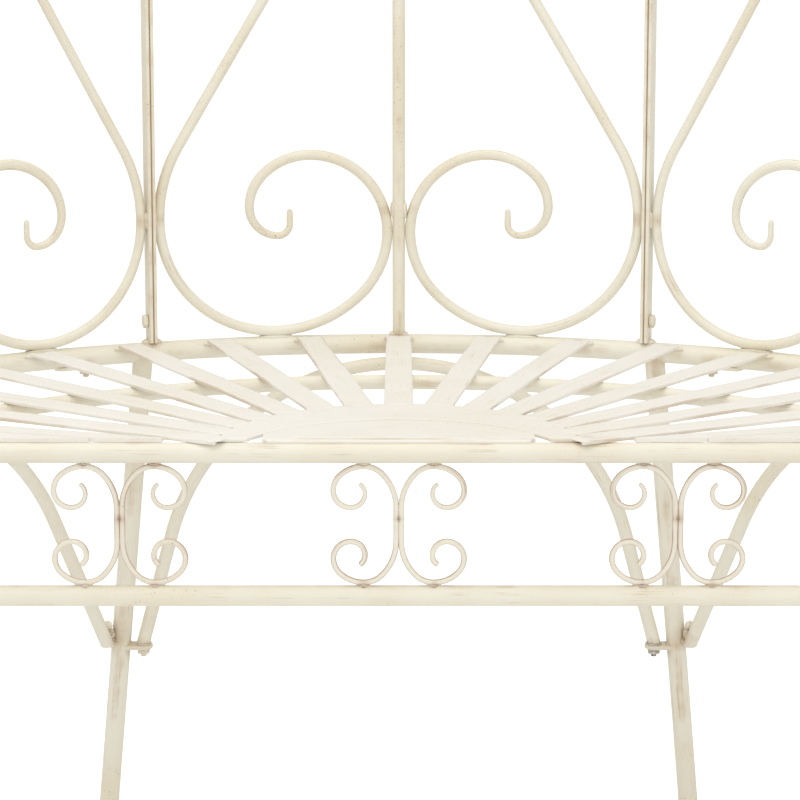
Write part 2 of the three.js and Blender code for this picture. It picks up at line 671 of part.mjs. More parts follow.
for (const panel of panels) {
  add(`panel_${panel.name}_frame`, cut(panel.frame(), ...boltHoles));
  add(`panel_${panel.name}_bar`, panel.bar());
  add(`panel_${panel.name}_scroll_left`, panel.scroll(-1));
  add(`panel_${panel.name}_scroll_right`, panel.scroll(1));
}

// ---- The origin lies on the ground under the middle of the bench ------------------------------
const bounds = new THREE.Box3().setFromObject(bench);
const shift = bounds.getCenter(new THREE.Vector3()).negate();
bench.position.set(shift.x, shift.y, -bounds.min.z);

export default bench;
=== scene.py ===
"""Looks of a curved ivory garden bench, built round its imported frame."""
from __future__ import annotations

import logging
import math
from dataclasses import dataclass, field
from enum import Enum
from typing import Callable, Iterable, Sequence

import bmesh
import bpy
from mathutils import Matrix, Vector
from mathutils.kdtree import KDTree


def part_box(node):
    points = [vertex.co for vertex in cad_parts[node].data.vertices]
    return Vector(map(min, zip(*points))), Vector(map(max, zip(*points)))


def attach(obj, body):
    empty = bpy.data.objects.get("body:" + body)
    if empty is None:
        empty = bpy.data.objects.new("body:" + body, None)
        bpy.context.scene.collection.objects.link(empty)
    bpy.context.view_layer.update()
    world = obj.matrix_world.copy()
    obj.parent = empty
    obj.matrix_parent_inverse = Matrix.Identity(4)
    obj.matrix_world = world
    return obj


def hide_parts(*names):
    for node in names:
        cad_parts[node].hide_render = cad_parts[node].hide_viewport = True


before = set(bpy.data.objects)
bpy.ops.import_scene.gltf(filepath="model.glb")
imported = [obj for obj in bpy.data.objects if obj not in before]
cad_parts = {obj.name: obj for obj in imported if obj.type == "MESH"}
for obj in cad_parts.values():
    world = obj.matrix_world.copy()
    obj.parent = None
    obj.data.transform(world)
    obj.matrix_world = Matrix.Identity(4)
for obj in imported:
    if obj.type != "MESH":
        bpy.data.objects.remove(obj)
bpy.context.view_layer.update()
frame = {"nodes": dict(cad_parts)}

LOG = logging.getLogger("bench")
Run = tuple[float, ...]
Place = Callable[[Vector], Vector]
SIDES = (("left", -1), ("right", 1))


class Finish(Enum):
    """The bench's finishes, each with the record's material slot that it belongs to."""

    FRAME = ("ivory_frame", "brushed")
    WIRE = ("ivory_frame", "rubbed")
    SLAT = ("ivory_slat", "brushed")
    FASTENER = ("zinc_fastener", "plated")

    @property
    def slot(self) -> str:
        """The record's material slot."""
        return self.value[0]


# ---- Finishes ----------------------------------------------------------------------------------
class Graph:
    """A material's node tree, with short ways to add and join nodes."""

    def __init__(self, name: str) -> None:
        """Starts an empty material.

        Args:
            name: The material's name.
        """
        self.material = bpy.data.materials.new(name)
        self.material.use_nodes = True
        self.tree = self.material.node_tree
        self.shader = self.tree.nodes["Principled BSDF"]

    def put(self, socket: bpy.types.NodeSocket, value: object) -> None:
        """Links a socket to another, or sets its value."""
        if isinstance(value, bpy.types.NodeSocket):
            self.tree.links.new(value, socket)
        else:
            socket.default_value = value

    def coordinate(self, attribute: str | None, scale: Sequence[float]) -> bpy.types.NodeSocket:
        """Gives a scaled coordinate.

        Args:
            attribute: A vector attribute of the mesh, or None for Object coordinates.
            scale: Factors along the three axes, per metre.

        Returns:
            The coordinate's socket.
        """
        if attribute is None:
            source = self.tree.nodes.new("ShaderNodeTexCoord").outputs["Object"]
        else:
            node = self.tree.nodes.new("ShaderNodeAttribute")
            node.attribute_name = attribute
            source = node.outputs["Vector"]
        mapping = self.tree.nodes.new("ShaderNodeMapping")
        self.put(mapping.inputs["Vector"], source)
        mapping.inputs["Scale"].default_value = scale
        return mapping.outputs["Vector"]

    def value(self, attribute: str) -> bpy.types.NodeSocket:
        """Gives a number that the mesh's vertices carry."""
        node = self.tree.nodes.new("ShaderNodeAttribute")
        node.attribute_name = attribute
        return node.outputs["Fac"]

    def noise(
        self, at: bpy.types.NodeSocket, detail: float = 3.0, rough: float = 0.55
    ) -> bpy.types.NodeSocket:
        """Gives a noise between 0 and 1.

        Args:
            at: The coordinate to read it at.
            detail: How many finer layers it has.
            rough: How strong the finer layers are.

        Returns:
            The noise's socket.
        """
        node = self.tree.nodes.new("ShaderNodeTexNoise")
        self.put(node.inputs["Vector"], at)
        node.inputs["Scale"].default_value = 1.0
        node.inputs["Detail"].default_value = detail
        node.inputs["Roughness"].default_value = rough
        return node.outputs["Fac"]

    def step(
        self, value: bpy.types.NodeSocket, low: float, high: float, top: float = 1.0
    ) -> bpy.types.NodeSocket:
        """Rises smoothly from 0 to top while value goes from low to high.

        Args:
            value: The value that drives it.
            low: Where it leaves 0.
            high: Where it reaches top.
            top: Its highest value.

        Returns:
            The result's socket.
        """
        node = self.tree.nodes.new("ShaderNodeMapRange")
        node.interpolation_type = "SMOOTHSTEP"
        self.put(node.inputs["Value"], value)
        node.inputs["From Min"].default_value = low
        node.inputs["From Max"].default_value = high
        node.inputs["To Max"].default_value = top
        return node.outputs["Result"]

    def math(self, kind: str, first: object, second: object) -> bpy.types.NodeSocket:
        """Does arithmetic on two values, each a socket or a number."""
        node = self.tree.nodes.new("ShaderNodeMath")
        node.operation = kind
        self.put(node.inputs[0], first)
        self.put(node.inputs[1], second)
        return node.outputs[0]

    def mix(self, amount: object, under: object, over: object) -> bpy.types.NodeSocket:
        """Lays one colour over another.

        Args:
            amount: How much of the upper colour shows, from 0 to 1.
            under: The lower colour.
            over: The upper colour.

        Returns:
            The mixed colour's socket.
        """
        node = self.tree.nodes.new("ShaderNodeMix")
        node.data_type = "RGBA"
        self.put(node.inputs["Factor"], amount)
        self.put(node.inputs[6], under if isinstance(under, bpy.types.NodeSocket) else (*under, 1.0))
        self.put(node.inputs[7], over if isinstance(over, bpy.types.NodeSocket) else (*over, 1.0))
        return node.outputs[2]

    def bump(self, height: bpy.types.NodeSocket, distance: float, strength: float) -> None:
        """Raises the surface by a height.

        Args:
            height: The height, from 0 to 1.
            distance: What a height of 1 stands for, in metres.
            strength: How much of it shows.
        """
        node = self.tree.nodes.new("ShaderNodeBump")
        self.put(node.inputs["Height"], height)
        node.inputs["Distance"].default_value = distance
        node.inputs["Strength"].default_value = strength
        self.put(self.shader.inputs["Normal"], node.outputs["Normal"])


@dataclass(frozen=True)
class AntiqueIvory:
    """Warm ivory paint with random patches of painted shade, brushed along each bar, ochre and dark brown
    towards edges and joints.
    """

    name: str
    # The first two colours are the ivory as lit and the ivory in shade; the shaded one is a painted shade,
    # laid in random cloud patches.
    light: tuple[float, float, float] = (0.85, 0.81, 0.685)
    shade_tint: tuple[float, float, float] = (0.775, 0.685, 0.50)
    ochre: tuple[float, float, float] = (0.53, 0.36, 0.19)
    umber: tuple[float, float, float] = (0.17, 0.095, 0.05)
    streak: float = 0.7
    shade_tint_share: float = 0.7
    edge_from: float = 0.92
    edge_to: float = 1.30
    edge_share: float = 0.55
    edge_scale: float = 26.0
    deep_from: float = 0.88
    deep_to: float = 1.12
    speck: float = 0.65

    def material(self) -> bpy.types.Material:
        """Makes the paint.

        Returns:
            The material, which reads the grain, joint and edge attributes.
        """
        g = Graph(self.name)
        brushed = g.noise(g.coordinate("grain", (14.0, 520.0, 520.0)), 5.0, 0.65)
        fine = g.noise(g.coordinate("grain", (60.0, 1700.0, 1700.0)), 3.0, 0.6)
        cloud = g.noise(g.coordinate(None, (7.0, 7.0, 7.0)), 3.0, 0.6)
        patch = g.noise(g.coordinate(None, (26.0, 26.0, 26.0)), 3.0, 0.6)
        speckle = g.noise(g.coordinate(None, (620.0, 620.0, 620.0)), 1.0, 0.4)
        # Painted shade: random cloud patches of the ivory's shaded colour laid over its lit colour.
        colour = g.mix(g.step(cloud, 0.35, 0.75, self.shade_tint_share), self.light, self.shade_tint)
        rub = g.math("MULTIPLY", g.step(brushed, 0.53, 0.72), g.step(patch, 0.46, 0.66, self.streak))
        colour = g.mix(rub, colour, self.ochre)
        # Ochre, then dark brown, grow towards each joint, broken up by noise.
        joint = g.value("joint")
        joint_ochre = g.math("ADD", joint, g.math("MULTIPLY", g.math("SUBTRACT", patch, 0.5), 1.1))
        colour = g.mix(g.step(joint_ochre, 0.42, 1.05, 0.5), colour, self.ochre)
        deep = g.math("ADD", joint, g.math("MULTIPLY", g.math("SUBTRACT", brushed, 0.5), 1.2))
        colour = g.mix(g.step(deep, self.deep_from, self.deep_to, 0.8), colour, self.umber)
        along = g.noise(g.coordinate(None, (self.edge_scale,) * 3), 3.0, 0.6)
        edge = g.math("ADD", g.value("edge"), g.math("MULTIPLY", g.math("SUBTRACT", along, 0.5), 0.9))
        colour = g.mix(g.step(edge, self.edge_from, self.edge_to, self.edge_share), colour, self.ochre)
        spots = g.math("MULTIPLY", g.step(speckle, 0.70, 0.76), g.step(cloud, 0.50, 0.62, self.speck))
        colour = g.mix(spots, colour, self.umber)
        g.put(g.shader.inputs["Base Color"], colour)
        g.put(g.shader.inputs["Roughness"], g.math("ADD", g.step(brushed, 0.3, 0.8, 0.22), 0.40))
        g.shader.inputs["Specular IOR Level"].default_value = 0.45
        g.shader.inputs["Coat Weight"].default_value = 0.08
        g.shader.inputs["Coat Roughness"].default_value = 0.35
        height = g.math("ADD", g.math("MULTIPLY", fine, 0.6), g.math("MULTIPLY", brushed, 0.8))
        g.bump(g.math("SUBTRACT", height, g.math("MULTIPLY", spots, 0.5)), 0.00035, 0.55)
        return g.material


@dataclass(frozen=True)
class Plate:
    """Dull zinc plate with a little white bloom and rust in random patches."""

    name: str
    bright: tuple[float, float, float] = (0.74, 0.72, 0.66)
    dull: tuple[float, float, float] = (0.40, 0.38, 0.33)
    rust: tuple[float, float, float] = (0.22, 0.10, 0.045)

    def material(self) -> bpy.types.Material:
        """Makes the plated metal."""
        g = Graph(self.name)
        cloud = g.noise(g.coordinate(None, (190.0, 190.0, 190.0)), 4.0, 0.6)
        grit = g.noise(g.coordinate(None, (1500.0, 1500.0, 1500.0)), 2.0, 0.5)
        colour = g.mix(g.step(cloud, 0.35, 0.68), self.bright, self.dull)
        colour = g.mix(g.step(cloud, 0.62, 0.74, 0.6), colour, self.rust)
        g.put(g.shader.inputs["Base Color"], colour)
        g.shader.inputs["Metallic"].default_value = 0.85
        g.put(g.shader.inputs["Roughness"], g.math("ADD", g.step(cloud, 0.3, 0.8, 0.3), 0.28))
        g.bump(grit, 0.0001, 0.5)
        return g.material


# ---- Shapes ------------------------------------------------------------------------------------
def fresh() -> bmesh.types.BMesh:
    """Starts a mesh whose vertices carry a grain, their place on the unbent bar, and an edge value."""
    mesh = bmesh.new()
    mesh.verts.layers.float_vector.new("grain")
    mesh.verts.layers.float.new("edge")
    return mesh


def verts_of(made: dict) -> list[bmesh.types.BMVert]:
    """Picks the vertices out of what an operator made."""
    return [item for item in made["geom"] if isinstance(item, bmesh.types.BMVert)]


def grain_as_placed(mesh: bmesh.types.BMesh, edge: float = 0.0) -> bmesh.types.BMesh:
    """Takes each vertex's present place as its grain.

    Args:
        mesh: The mesh to mark.
        edge: The edge value to give its vertices.

    Returns:
        The same mesh.
    """
    grain = mesh.verts.layers.float_vector["grain"]
    rim = mesh.verts.layers.float["edge"]
    for vert in mesh.verts:
        vert[grain] = vert.co
        vert[rim] = edge
    return mesh


def bevel_sharp(mesh: bmesh.types.BMesh, width: float, segments: int = 2) -> None:
    """Rounds every edge that turns more than a little.

    Args:
        mesh: The mesh to change.
        width: The bevel's width in metres.
        segments: How many strips it has.
    """
    sharp = [edge for edge in mesh.edges if edge.is_manifold and edge.calc_face_angle(0.0) > math.radians(35)]
    bmesh.ops.bevel(
        mesh, geom=sharp, offset=width, offset_type="OFFSET", segments=segments, profile=0.5,
        affect="EDGES", material=-1, clamp_overlap=True,
    )


def slice_off(mesh: bmesh.types.BMesh, point: Vector, outward: Vector) -> None:
    """Cuts away what lies past a plane and closes the cut.

    Args:
        mesh: The mesh to cut.
        point: A point of the plane.
        outward: The direction of what is cut away.
    """
    whole = mesh.verts[:] + mesh.edges[:] + mesh.faces[:]
    bmesh.ops.bisect_plane(mesh, geom=whole, plane_co=point, plane_no=outward, clear_outer=True)
    open_edges = [edge for edge in mesh.edges if edge.is_boundary]
    bmesh.ops.holes_fill(mesh, edges=open_edges, sides=0)


def laid(mesh: bmesh.types.BMesh, place: Place) -> bmesh.types.BMesh:
    """Moves every vertex to where a surface or a direction puts it."""
    for vert in mesh.verts:
        vert.co = place(vert.co)
    return mesh


def pointed(start: Vector, along: Vector, up: Vector = Vector((0, 0, 1))) -> Matrix:
    """Gives the matrix that brings the X axis onto a direction.

    Args:
        start: Where the origin goes.
        along: The direction of X.
        up: What Z leans towards.

    Returns:
        The matrix.
    """
    ahead = along.normalized()
    side = up.cross(ahead).normalized()
    return Matrix.Translation(start) @ Matrix((ahead, side, ahead.cross(side))).transposed().to_4x4()


def trace(start: Vector, heading: float, runs: Iterable[Run]) -> tuple[Vector, float]:
    """Follows runs as the bender draws them.

    Args:
        start: Where they start, in the X-Z plane.
        heading: Degrees from X towards Z.
        runs: Straight runs (length,) and clockwise bends (radius, degrees).

    Returns:
        Where they end, and the heading there.
    """
    at, course = start.copy(), heading
    for run in runs:
        turn = math.radians(course)
        ahead = Vector((math.cos(turn), 0.0, math.sin(turn)))
        if len(run) == 1:
            at = at + ahead * run[0]
            continue
        centre = at + Vector((math.sin(turn), 0.0, -math.cos(turn))) * run[0]
        at = centre + Matrix.Rotation(math.radians(run[1]), 3, "Y") @ (at - centre)
        course -= run[1]
    return at, course


class BentRod:
    """One round bar in the X-Z plane, made by straight runs and clockwise bends."""

    def __init__(self, radius: float, start: Vector, heading: float, sides: int = 20) -> None:
        """Starts with an open ring.

        Args:
            radius: The bar's radius in metres.
            start: Where it starts.
            heading: Degrees from X towards Z.
            sides: How many sides the bar has.
        """
        self.mesh = fresh()
        self.radius = radius
        self.at = start.copy()
        self.course = heading
        self.length = 0.0
        facing = Matrix.Rotation(math.radians(90.0 - heading), 4, "Y")
        bmesh.ops.create_circle(
            self.mesh, segments=sides, radius=radius, matrix=Matrix.Translation(self.at) @ facing
        )
        self.rim = list(self.mesh.edges)
        self.ring = list(self.mesh.verts)
        self.first = list(self.mesh.edges)
        self.rings: list[tuple[list[bmesh.types.BMVert], Vector, float]] = []
        self._mark()

    def _ahead(self) -> Vector:
        """Gives the heading as a direction."""
        turn = math.radians(self.course)
        return Vector((math.cos(turn), 0.0, math.sin(turn)))

    def _mark(self) -> None:
        """Writes the present ring's grain, and how far each vertex lies to the side of a bend."""
        grain = self.mesh.verts.layers.float_vector["grain"]
        rim = self.mesh.verts.layers.float["edge"]
        ahead = self._ahead()
        above = Vector((-ahead.z, 0.0, ahead.x))
        for vert in self.ring:
            aside = vert.co - self.at
            vert[grain] = Vector((self.length, aside.dot(above), aside.y))
            vert[rim] = abs(aside.dot(above)) / self.radius
        self.rings.append((self.ring, self.at.copy(), self.length))

    def _grow(self) -> None:
        """Extrudes the end ring on the spot."""
        made = bmesh.ops.extrude_edge_only(self.mesh, edges=self.rim)
        self.ring = verts_of(made)
        fresh_verts = set(self.ring)
        self.rim = [
            item for item in made["geom"]
            if isinstance(item, bmesh.types.BMEdge) and set(item.verts) <= fresh_verts
        ]

    def run(self, length: float, piece: float = 0.012) -> BentRod:
        """Goes straight on.

        Args:
            length: How far.
            piece: The longest step.

        Returns:
            The rod.
        """
        if length <= 0.0:
            return self
        steps = max(1, math.ceil(length / piece))
        for _ in range(steps):
            move = self._ahead() * (length / steps)
            self._grow()
            bmesh.ops.translate(self.mesh, verts=self.ring, vec=move)
            self.at += move
            self.length += length / steps
            self._mark()
        return self

    def bend(self, radius: float, degrees: float, piece: float = 0.006) -> BentRod:
        """Bends clockwise.

        Args:
            radius: The bend's radius.
            degrees: How far it turns.
            piece: The longest step, as long as a step turns less than 8 degrees.

        Returns:
            The rod.
        """
        arc = radius * math.radians(degrees)
        steps = max(1, math.ceil(arc / piece), math.ceil(degrees / 8.0))
        turn = math.radians(self.course)
        centre = self.at + Vector((math.sin(turn), 0.0, -math.cos(turn))) * radius
        for _ in range(steps):
            part = degrees / steps
            turning = Matrix.Rotation(math.radians(part), 3, "Y")
            self._grow()
            bmesh.ops.rotate(self.mesh, verts=self.ring, cent=centre, matrix=turning)
            self.at = centre + turning @ (self.at - centre)
            self.course -= part
            self.length += arc / steps
            self._mark()
        return self

    def follow(self, runs: Iterable[Run]) -> BentRod:
        """Draws straight runs (length,) and bends (radius, degrees)."""
        for run in runs:
            if len(run) == 1:
                self.run(run[0])
            else:
                self.bend(run[0], run[1])
        return self

    def taper(self, length: float, keep: float) -> BentRod:
        """Draws the end out thinner.

        Args:
            length: How much of the end is drawn out.
            keep: The share of the radius left at the tip.

        Returns:
            The rod.
        """
        for ring, centre, along in self.rings:
            share = (along - self.length + length) / length
            if share > 0.0:
                factor = 1.0 - (1.0 - keep) * share
                space = Matrix.Translation(-centre)
                bmesh.ops.scale(self.mesh, verts=ring, vec=(factor,) * 3, space=space)
        return self

    def close(self, round_off: float = 0.25) -> bmesh.types.BMesh:
        """Closes both ends.

        Args:
            round_off: How much of the radius the rounded rim takes.

        Returns:
            The closed mesh.
        """
        for rim, outward in ((self.rim, self._ahead()), (self.first, None)):
            verts = list({vert for edge in rim for vert in edge.verts})
            centre = sum((vert.co for vert in verts), Vector()) / len(verts)
            if outward is None:
                lengthwise = next(edge for edge in verts[0].link_edges if edge not in set(rim))
                inner = lengthwise.other_vert(verts[0])
                outward = (verts[0].co - inner.co).normalized()
                flat = (verts[0].co - centre).normalized()
                outward = (outward - flat * outward.dot(flat)).normalized()
            size = 1.0
            for turn in (30, 60, 90):
                goal = 1.0 - round_off * (1.0 - math.cos(math.radians(turn)))
                climb = math.sin(math.radians(turn)) - math.sin(math.radians(turn - 30))
                rise = round_off * self.radius * climb
                made = bmesh.ops.extrude_edge_only(self.mesh, edges=rim)
                ring = verts_of(made)
                fresh_verts = set(ring)
                rim = [
                    item for item in made["geom"]
                    if isinstance(item, bmesh.types.BMEdge) and set(item.verts) <= fresh_verts
                ]
                bmesh.ops.translate(self.mesh, verts=ring, vec=outward * rise)
                centre = centre + outward * rise
                bmesh.ops.scale(
                    self.mesh, verts=ring, vec=(goal / size,) * 3, space=Matrix.Translation(-centre)
                )
                size = goal
            bmesh.ops.holes_fill(self.mesh, edges=rim, sides=0)
        return self.mesh


def straight_rod(start: Vector, end: Vector, radius: float, sides: int = 24) -> bmesh.types.BMesh:
    """Makes a straight round bar between two points."""
    rod = BentRod(radius, Vector(), 0.0, sides).run((end - start).length)
    mesh = rod.close()
    up = Vector((0, 1, 0)) if abs((end - start).normalized().z) > 0.9 else Vector((0, 0, 1))
    bmesh.ops.transform(mesh, matrix=pointed(start, end - start, up), verts=mesh.verts)
    return mesh


def flat_bar(width: float, thick: float, length: float, piece: float = 0.012) -> bmesh.types.BMesh:
    """Makes a flat bar along X with rounded long edges, its wide face level, centred on the X axis.

    Args:
        width: Its width along Y.
        thick: Its thickness along Z.
        length: Its length.
        piece: The longest step along it.

    Returns:
        The closed mesh, whose edge value is 1 along its long edges and 0 in its middle.
    """
    mesh = fresh()
    grain = mesh.verts.layers.float_vector["grain"]
    rim = mesh.verts.layers.float["edge"]
    bmesh.ops.create_grid(mesh, x_segments=1, y_segments=6, size=0.5)
    bmesh.ops.scale(mesh, vec=(thick, width, 1.0), verts=mesh.verts)
    bmesh.ops.rotate(mesh, cent=(0, 0, 0), matrix=Matrix.Rotation(math.pi / 2, 3, "Y"), verts=mesh.verts)
    corner_verts = [vert for vert in mesh.verts if len(vert.link_edges) == 2]
    bmesh.ops.bevel(
        mesh, geom=corner_verts, offset=thick * 0.32, segments=2, profile=0.5, affect="VERTICES", material=-1
    )
    section = mesh.faces[:]
    last = section
    steps = max(1, math.ceil(length / piece))
    for _ in range(steps):
        made = bmesh.ops.extrude_face_region(mesh, geom=last)
        moved = verts_of(made)
        bmesh.ops.translate(mesh, verts=moved, vec=(length / steps, 0, 0))
        if last is not section:
            bmesh.ops.delete(mesh, geom=last, context="FACES_ONLY")
        last = [item for item in made["geom"] if isinstance(item, bmesh.types.BMFace)]
    loose = [edge for edge in mesh.edges if not edge.link_faces]
    bmesh.ops.delete(mesh, geom=loose, context="EDGES")
    for vert in mesh.verts:
        vert[grain] = vert.co
        vert[rim] = abs(vert.co.y) / (width / 2)
    return mesh


def sheet(
    place: Callable[[float, float], Vector], thick: float, columns: int, rows: int
) -> bmesh.types.BMesh:
    """Makes a flat sheet from the outline that a function gives.

    Args:
        place: Gives a point of the upper face for two shares from 0 to 1, along it and across it.
        thick: Its thickness.
        columns: How many faces lie along it.
        rows: How many faces lie across it.

    Returns:
        The closed mesh, whose edge value is 1 round its outline.
    """
    mesh = fresh()
    bmesh.ops.create_grid(mesh, x_segments=columns, y_segments=rows, size=0.5)
    outline = [vert for vert in mesh.verts if vert.is_boundary]
    laid(mesh, lambda co: place(co.x + 0.5, co.y + 0.5))
    grain_as_placed(mesh)
    rim = mesh.verts.layers.float["edge"]
    for vert in outline:
        vert[rim] = 1.0
    made = bmesh.ops.extrude_face_region(mesh, geom=mesh.faces[:])
    bmesh.ops.translate(mesh, verts=verts_of(made), vec=(0, 0, -thick))
    bmesh.ops.recalc_face_normals(mesh, faces=mesh.faces[:])
    bevel_sharp(mesh, thick * 0.25)
    return mesh


def turned(points: Sequence[tuple[float, float]], steps: int = 24) -> bmesh.types.BMesh:
    """Turns a profile about the Z axis.

    Args:
        points: The profile's (radius, height) points; a closed ring's last point is its first.
        steps: How many faces go round.

    Returns:
        The closed mesh.
    """
    mesh = fresh()
    verts = [mesh.verts.new((radius, 0.0, height)) for radius, height in points]
    edges = [mesh.edges.new(pair) for pair in zip(verts, verts[1:])]
    bmesh.ops.spin(
        mesh, geom=verts + edges, cent=(0, 0, 0), axis=(0, 0, 1), dvec=(0, 0, 0),
        angle=2 * math.pi, steps=steps, use_merge=True,
    )
    bmesh.ops.remove_doubles(mesh, verts=mesh.verts, dist=1e-6)
    return grain_as_placed(mesh)


def hexagon(across: float, height: float) -> bmesh.types.BMesh:
    """Makes a hexagonal head or nut on the XY plane with its corners turned down."""
    mesh = fresh()
    bmesh.ops.create_circle(mesh, cap_ends=True, segments=6, radius=across / 2)
    made = bmesh.ops.extrude_face_region(mesh, geom=mesh.faces[:])
    bmesh.ops.translate(mesh, verts=verts_of(made), vec=(0, 0, height))
    bevel_sharp(mesh, across * 0.05)
    return grain_as_placed(mesh)


def slot_plate(reach: float, width: float, thick: float) -> bmesh.types.BMesh:
    """Makes a plate with a round end at the origin, reaching back along -X, its top on the XY plane."""
    mesh = fresh()
    bmesh.ops.create_circle(mesh, cap_ends=True, segments=32, radius=width / 2)
    back = [vert for vert in mesh.verts if vert.co.x < -1e-6]
    bmesh.ops.translate(mesh, verts=back, vec=(-reach + width / 2, 0, 0))
    made = bmesh.ops.extrude_face_region(mesh, geom=mesh.faces[:])
    bmesh.ops.translate(mesh, verts=verts_of(made), vec=(0, 0, -thick))
    bevel_sharp(mesh, thick * 0.18)
    return grain_as_placed(mesh)


def bead(centre: Vector, size: Vector, turn: float = 0.0, lumps: float = 0.18) -> bmesh.types.BMesh:
    """Makes one uneven drop of weld.

    Args:
        centre: Its middle.
        size: Its half sizes along X, Y and Z.
        turn: How far it is turned about Z, in radians.
        lumps: How uneven it is.

    Returns:
        The closed mesh.
    """
    mesh = fresh()
    bmesh.ops.create_icosphere(mesh, subdivisions=3, radius=1.0)
    for vert in mesh.verts:
        wave = math.sin(7.3 * vert.co.x + 31.0 * centre.x) * math.sin(6.1 * vert.co.z + 47.0 * centre.z)
        vert.co *= 1.0 + lumps * wave * math.cos(5.3 * vert.co.y + 19.0 * centre.x)
    bmesh.ops.scale(mesh, vec=size, verts=mesh.verts)
    bmesh.ops.rotate(mesh, cent=(0, 0, 0), matrix=Matrix.Rotation(turn, 3, "Z"), verts=mesh.verts)
    bmesh.ops.translate(mesh, vec=centre, verts=mesh.verts)
    return grain_as_placed(mesh, 0.3)


def gathered(meshes: Iterable[bmesh.types.BMesh]) -> bmesh.types.BMesh:
    """Puts several meshes into one.

    Args:
        meshes: The meshes, which are freed.

    Returns:
        The one mesh.
    """
    whole = fresh()
    store = bpy.data.meshes.new("store")
    for mesh in meshes:
        mesh.to_mesh(store)
        mesh.free()
        whole.from_mesh(store)
    bpy.data.meshes.remove(store)
    return whole


# ---- Layout ------------------------------------------------------------------------------------
@dataclass
class Layout:
    """The bench's lines, which every sub-assembly is placed from."""

    width: float = 1.290
    depth: float = 0.455
    frame_tube: float = 0.019
    weld_gap: float = 0.0003
    slat_thick: float = 0.003
    front: float = field(init=False)
    slat_top: float = field(init=False)
    front_z: float = field(init=False)
    lower_z: float = field(init=False)
    crown: float = field(init=False)
    radius: float = field(init=False)
    centre_y: float = field(init=False)
    outer_z: float = field(init=False)

    def __post_init__(self) -> None:
        """Reads the frame's places."""
        upper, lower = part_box("front_rail_upper"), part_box("front_rail_lower")
        self.front = (upper[0].y + upper[1].y) / 2
        self.front_z = (upper[0].z + upper[1].z) / 2
        self.lower_z = (lower[0].z + lower[1].z) / 2
        self.crown = upper[1].z
        self.slat_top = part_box("slat_10")[1].z
        self.radius = (self.width**2 / 4 + self.depth**2) / (2 * self.depth)
        self.centre_y = self.front + self.depth - self.radius
        self.outer_z = self.slat_top - self.weld_gap - self.frame_tube / 2

    @property
    def corner(self) -> float:
        """Half the angle that the outer rail spans, in radians."""
        return math.atan2(self.width / 2, self.front - self.centre_y)

    def on_back(self, arc: float, z: float, outward: float = 0.0) -> Vector:
        """Gives the point a length along the outer rail from the centre line.

        Args:
            arc: The length along the rail's axis, positive to the right.
            z: Height.
            outward: Distance outside the rail's axis.

        Returns:
            The point.
        """
        turn = arc / self.radius
        reach = self.radius + outward
        return Vector((reach * math.sin(turn), self.centre_y + reach * math.cos(turn), z))


class Workshop:
    """Holds the finishes, notes the joints, and hands over finished pieces."""

    def __init__(self) -> None:
        """Mixes the paints."""
        frame_paint = AntiqueIvory("ivory_frame_paint")
        # As in the frame paint, the second colour of each paint is the ivory in shade, a painted shade.
        slat_paint = AntiqueIvory(
            "ivory_slat_paint", light=(0.88, 0.845, 0.765), shade_tint=(0.82, 0.755, 0.62), streak=0.42,
            shade_tint_share=0.5, edge_from=0.93, edge_to=1.12, edge_share=0.5, edge_scale=9.0, speck=0.4,
        )
        wire_paint = AntiqueIvory(
            "ivory_wire_paint", shade_tint=(0.78, 0.68, 0.54), ochre=(0.46, 0.27, 0.16), streak=0.85,
            edge_from=0.66, edge_to=1.12, edge_share=0.85, deep_from=0.74, deep_to=1.10,
        )
        self.paints = {
            Finish.FRAME: frame_paint.material(),
            Finish.WIRE: wire_paint.material(),
            Finish.SLAT: slat_paint.material(),
            Finish.FASTENER: Plate("zinc_plate").material(),
        }
        self.joints: list[tuple[Vector, float]] = []
        self.waiting: list[tuple[str, bmesh.types.BMesh, Finish, tuple[str, ...]]] = []

    def joint(self, point: Vector, reach: float = 0.012) -> None:
        """Notes a place where pieces meet, so that the paint turns ochre and dark brown round it."""
        self.joints.append((point, reach))

    def deliver(self, name: str, mesh: bmesh.types.BMesh, finish: Finish, nodes: Sequence[str] = ()) -> None:
        """Takes a finished shape.

        Args:
            name: The piece's name.
            mesh: Its shape, in its place.
            finish: Its finish.
            nodes: The frame's nodes it stands for.
        """
        self.waiting.append((name, mesh, finish, tuple(nodes)))

    def hand_over(self) -> None:
        """Makes the pieces' objects, each vertex carrying how near it lies to a joint."""
        tree = KDTree(len(self.joints))
        for i, (point, _) in enumerate(self.joints):
            tree.insert(point, i)
        tree.balance()
        for name, mesh, finish, nodes in self.waiting:
            joint_nearness = mesh.verts.layers.float.new("joint")
            for vert in mesh.verts:
                value = 0.0
                for _, i, away in tree.find_n(vert.co, 3):
                    value = max(value, math.exp(-((away / self.joints[i][1]) ** 2)))
                vert[joint_nearness] = value
            bmesh.ops.recalc_face_normals(mesh, faces=mesh.faces)
            for face in mesh.faces:
                face.smooth = True
            for edge in mesh.edges:
                edge.smooth = edge.calc_face_angle(0.0) < math.radians(40)
            data = bpy.data.meshes.new(name)
            mesh.to_mesh(data)
            count = len(mesh.faces)
            mesh.free()
            data.materials.append(self.paints[finish])
            piece = bpy.data.objects.new(name, data)
            bpy.context.scene.collection.objects.link(piece)
            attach(piece, "root")
            finish.slot
            if nodes:
                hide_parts(*nodes)
            LOG.info("%s: %d faces, stands for %s", name, count, ", ".join(nodes) or "nothing")


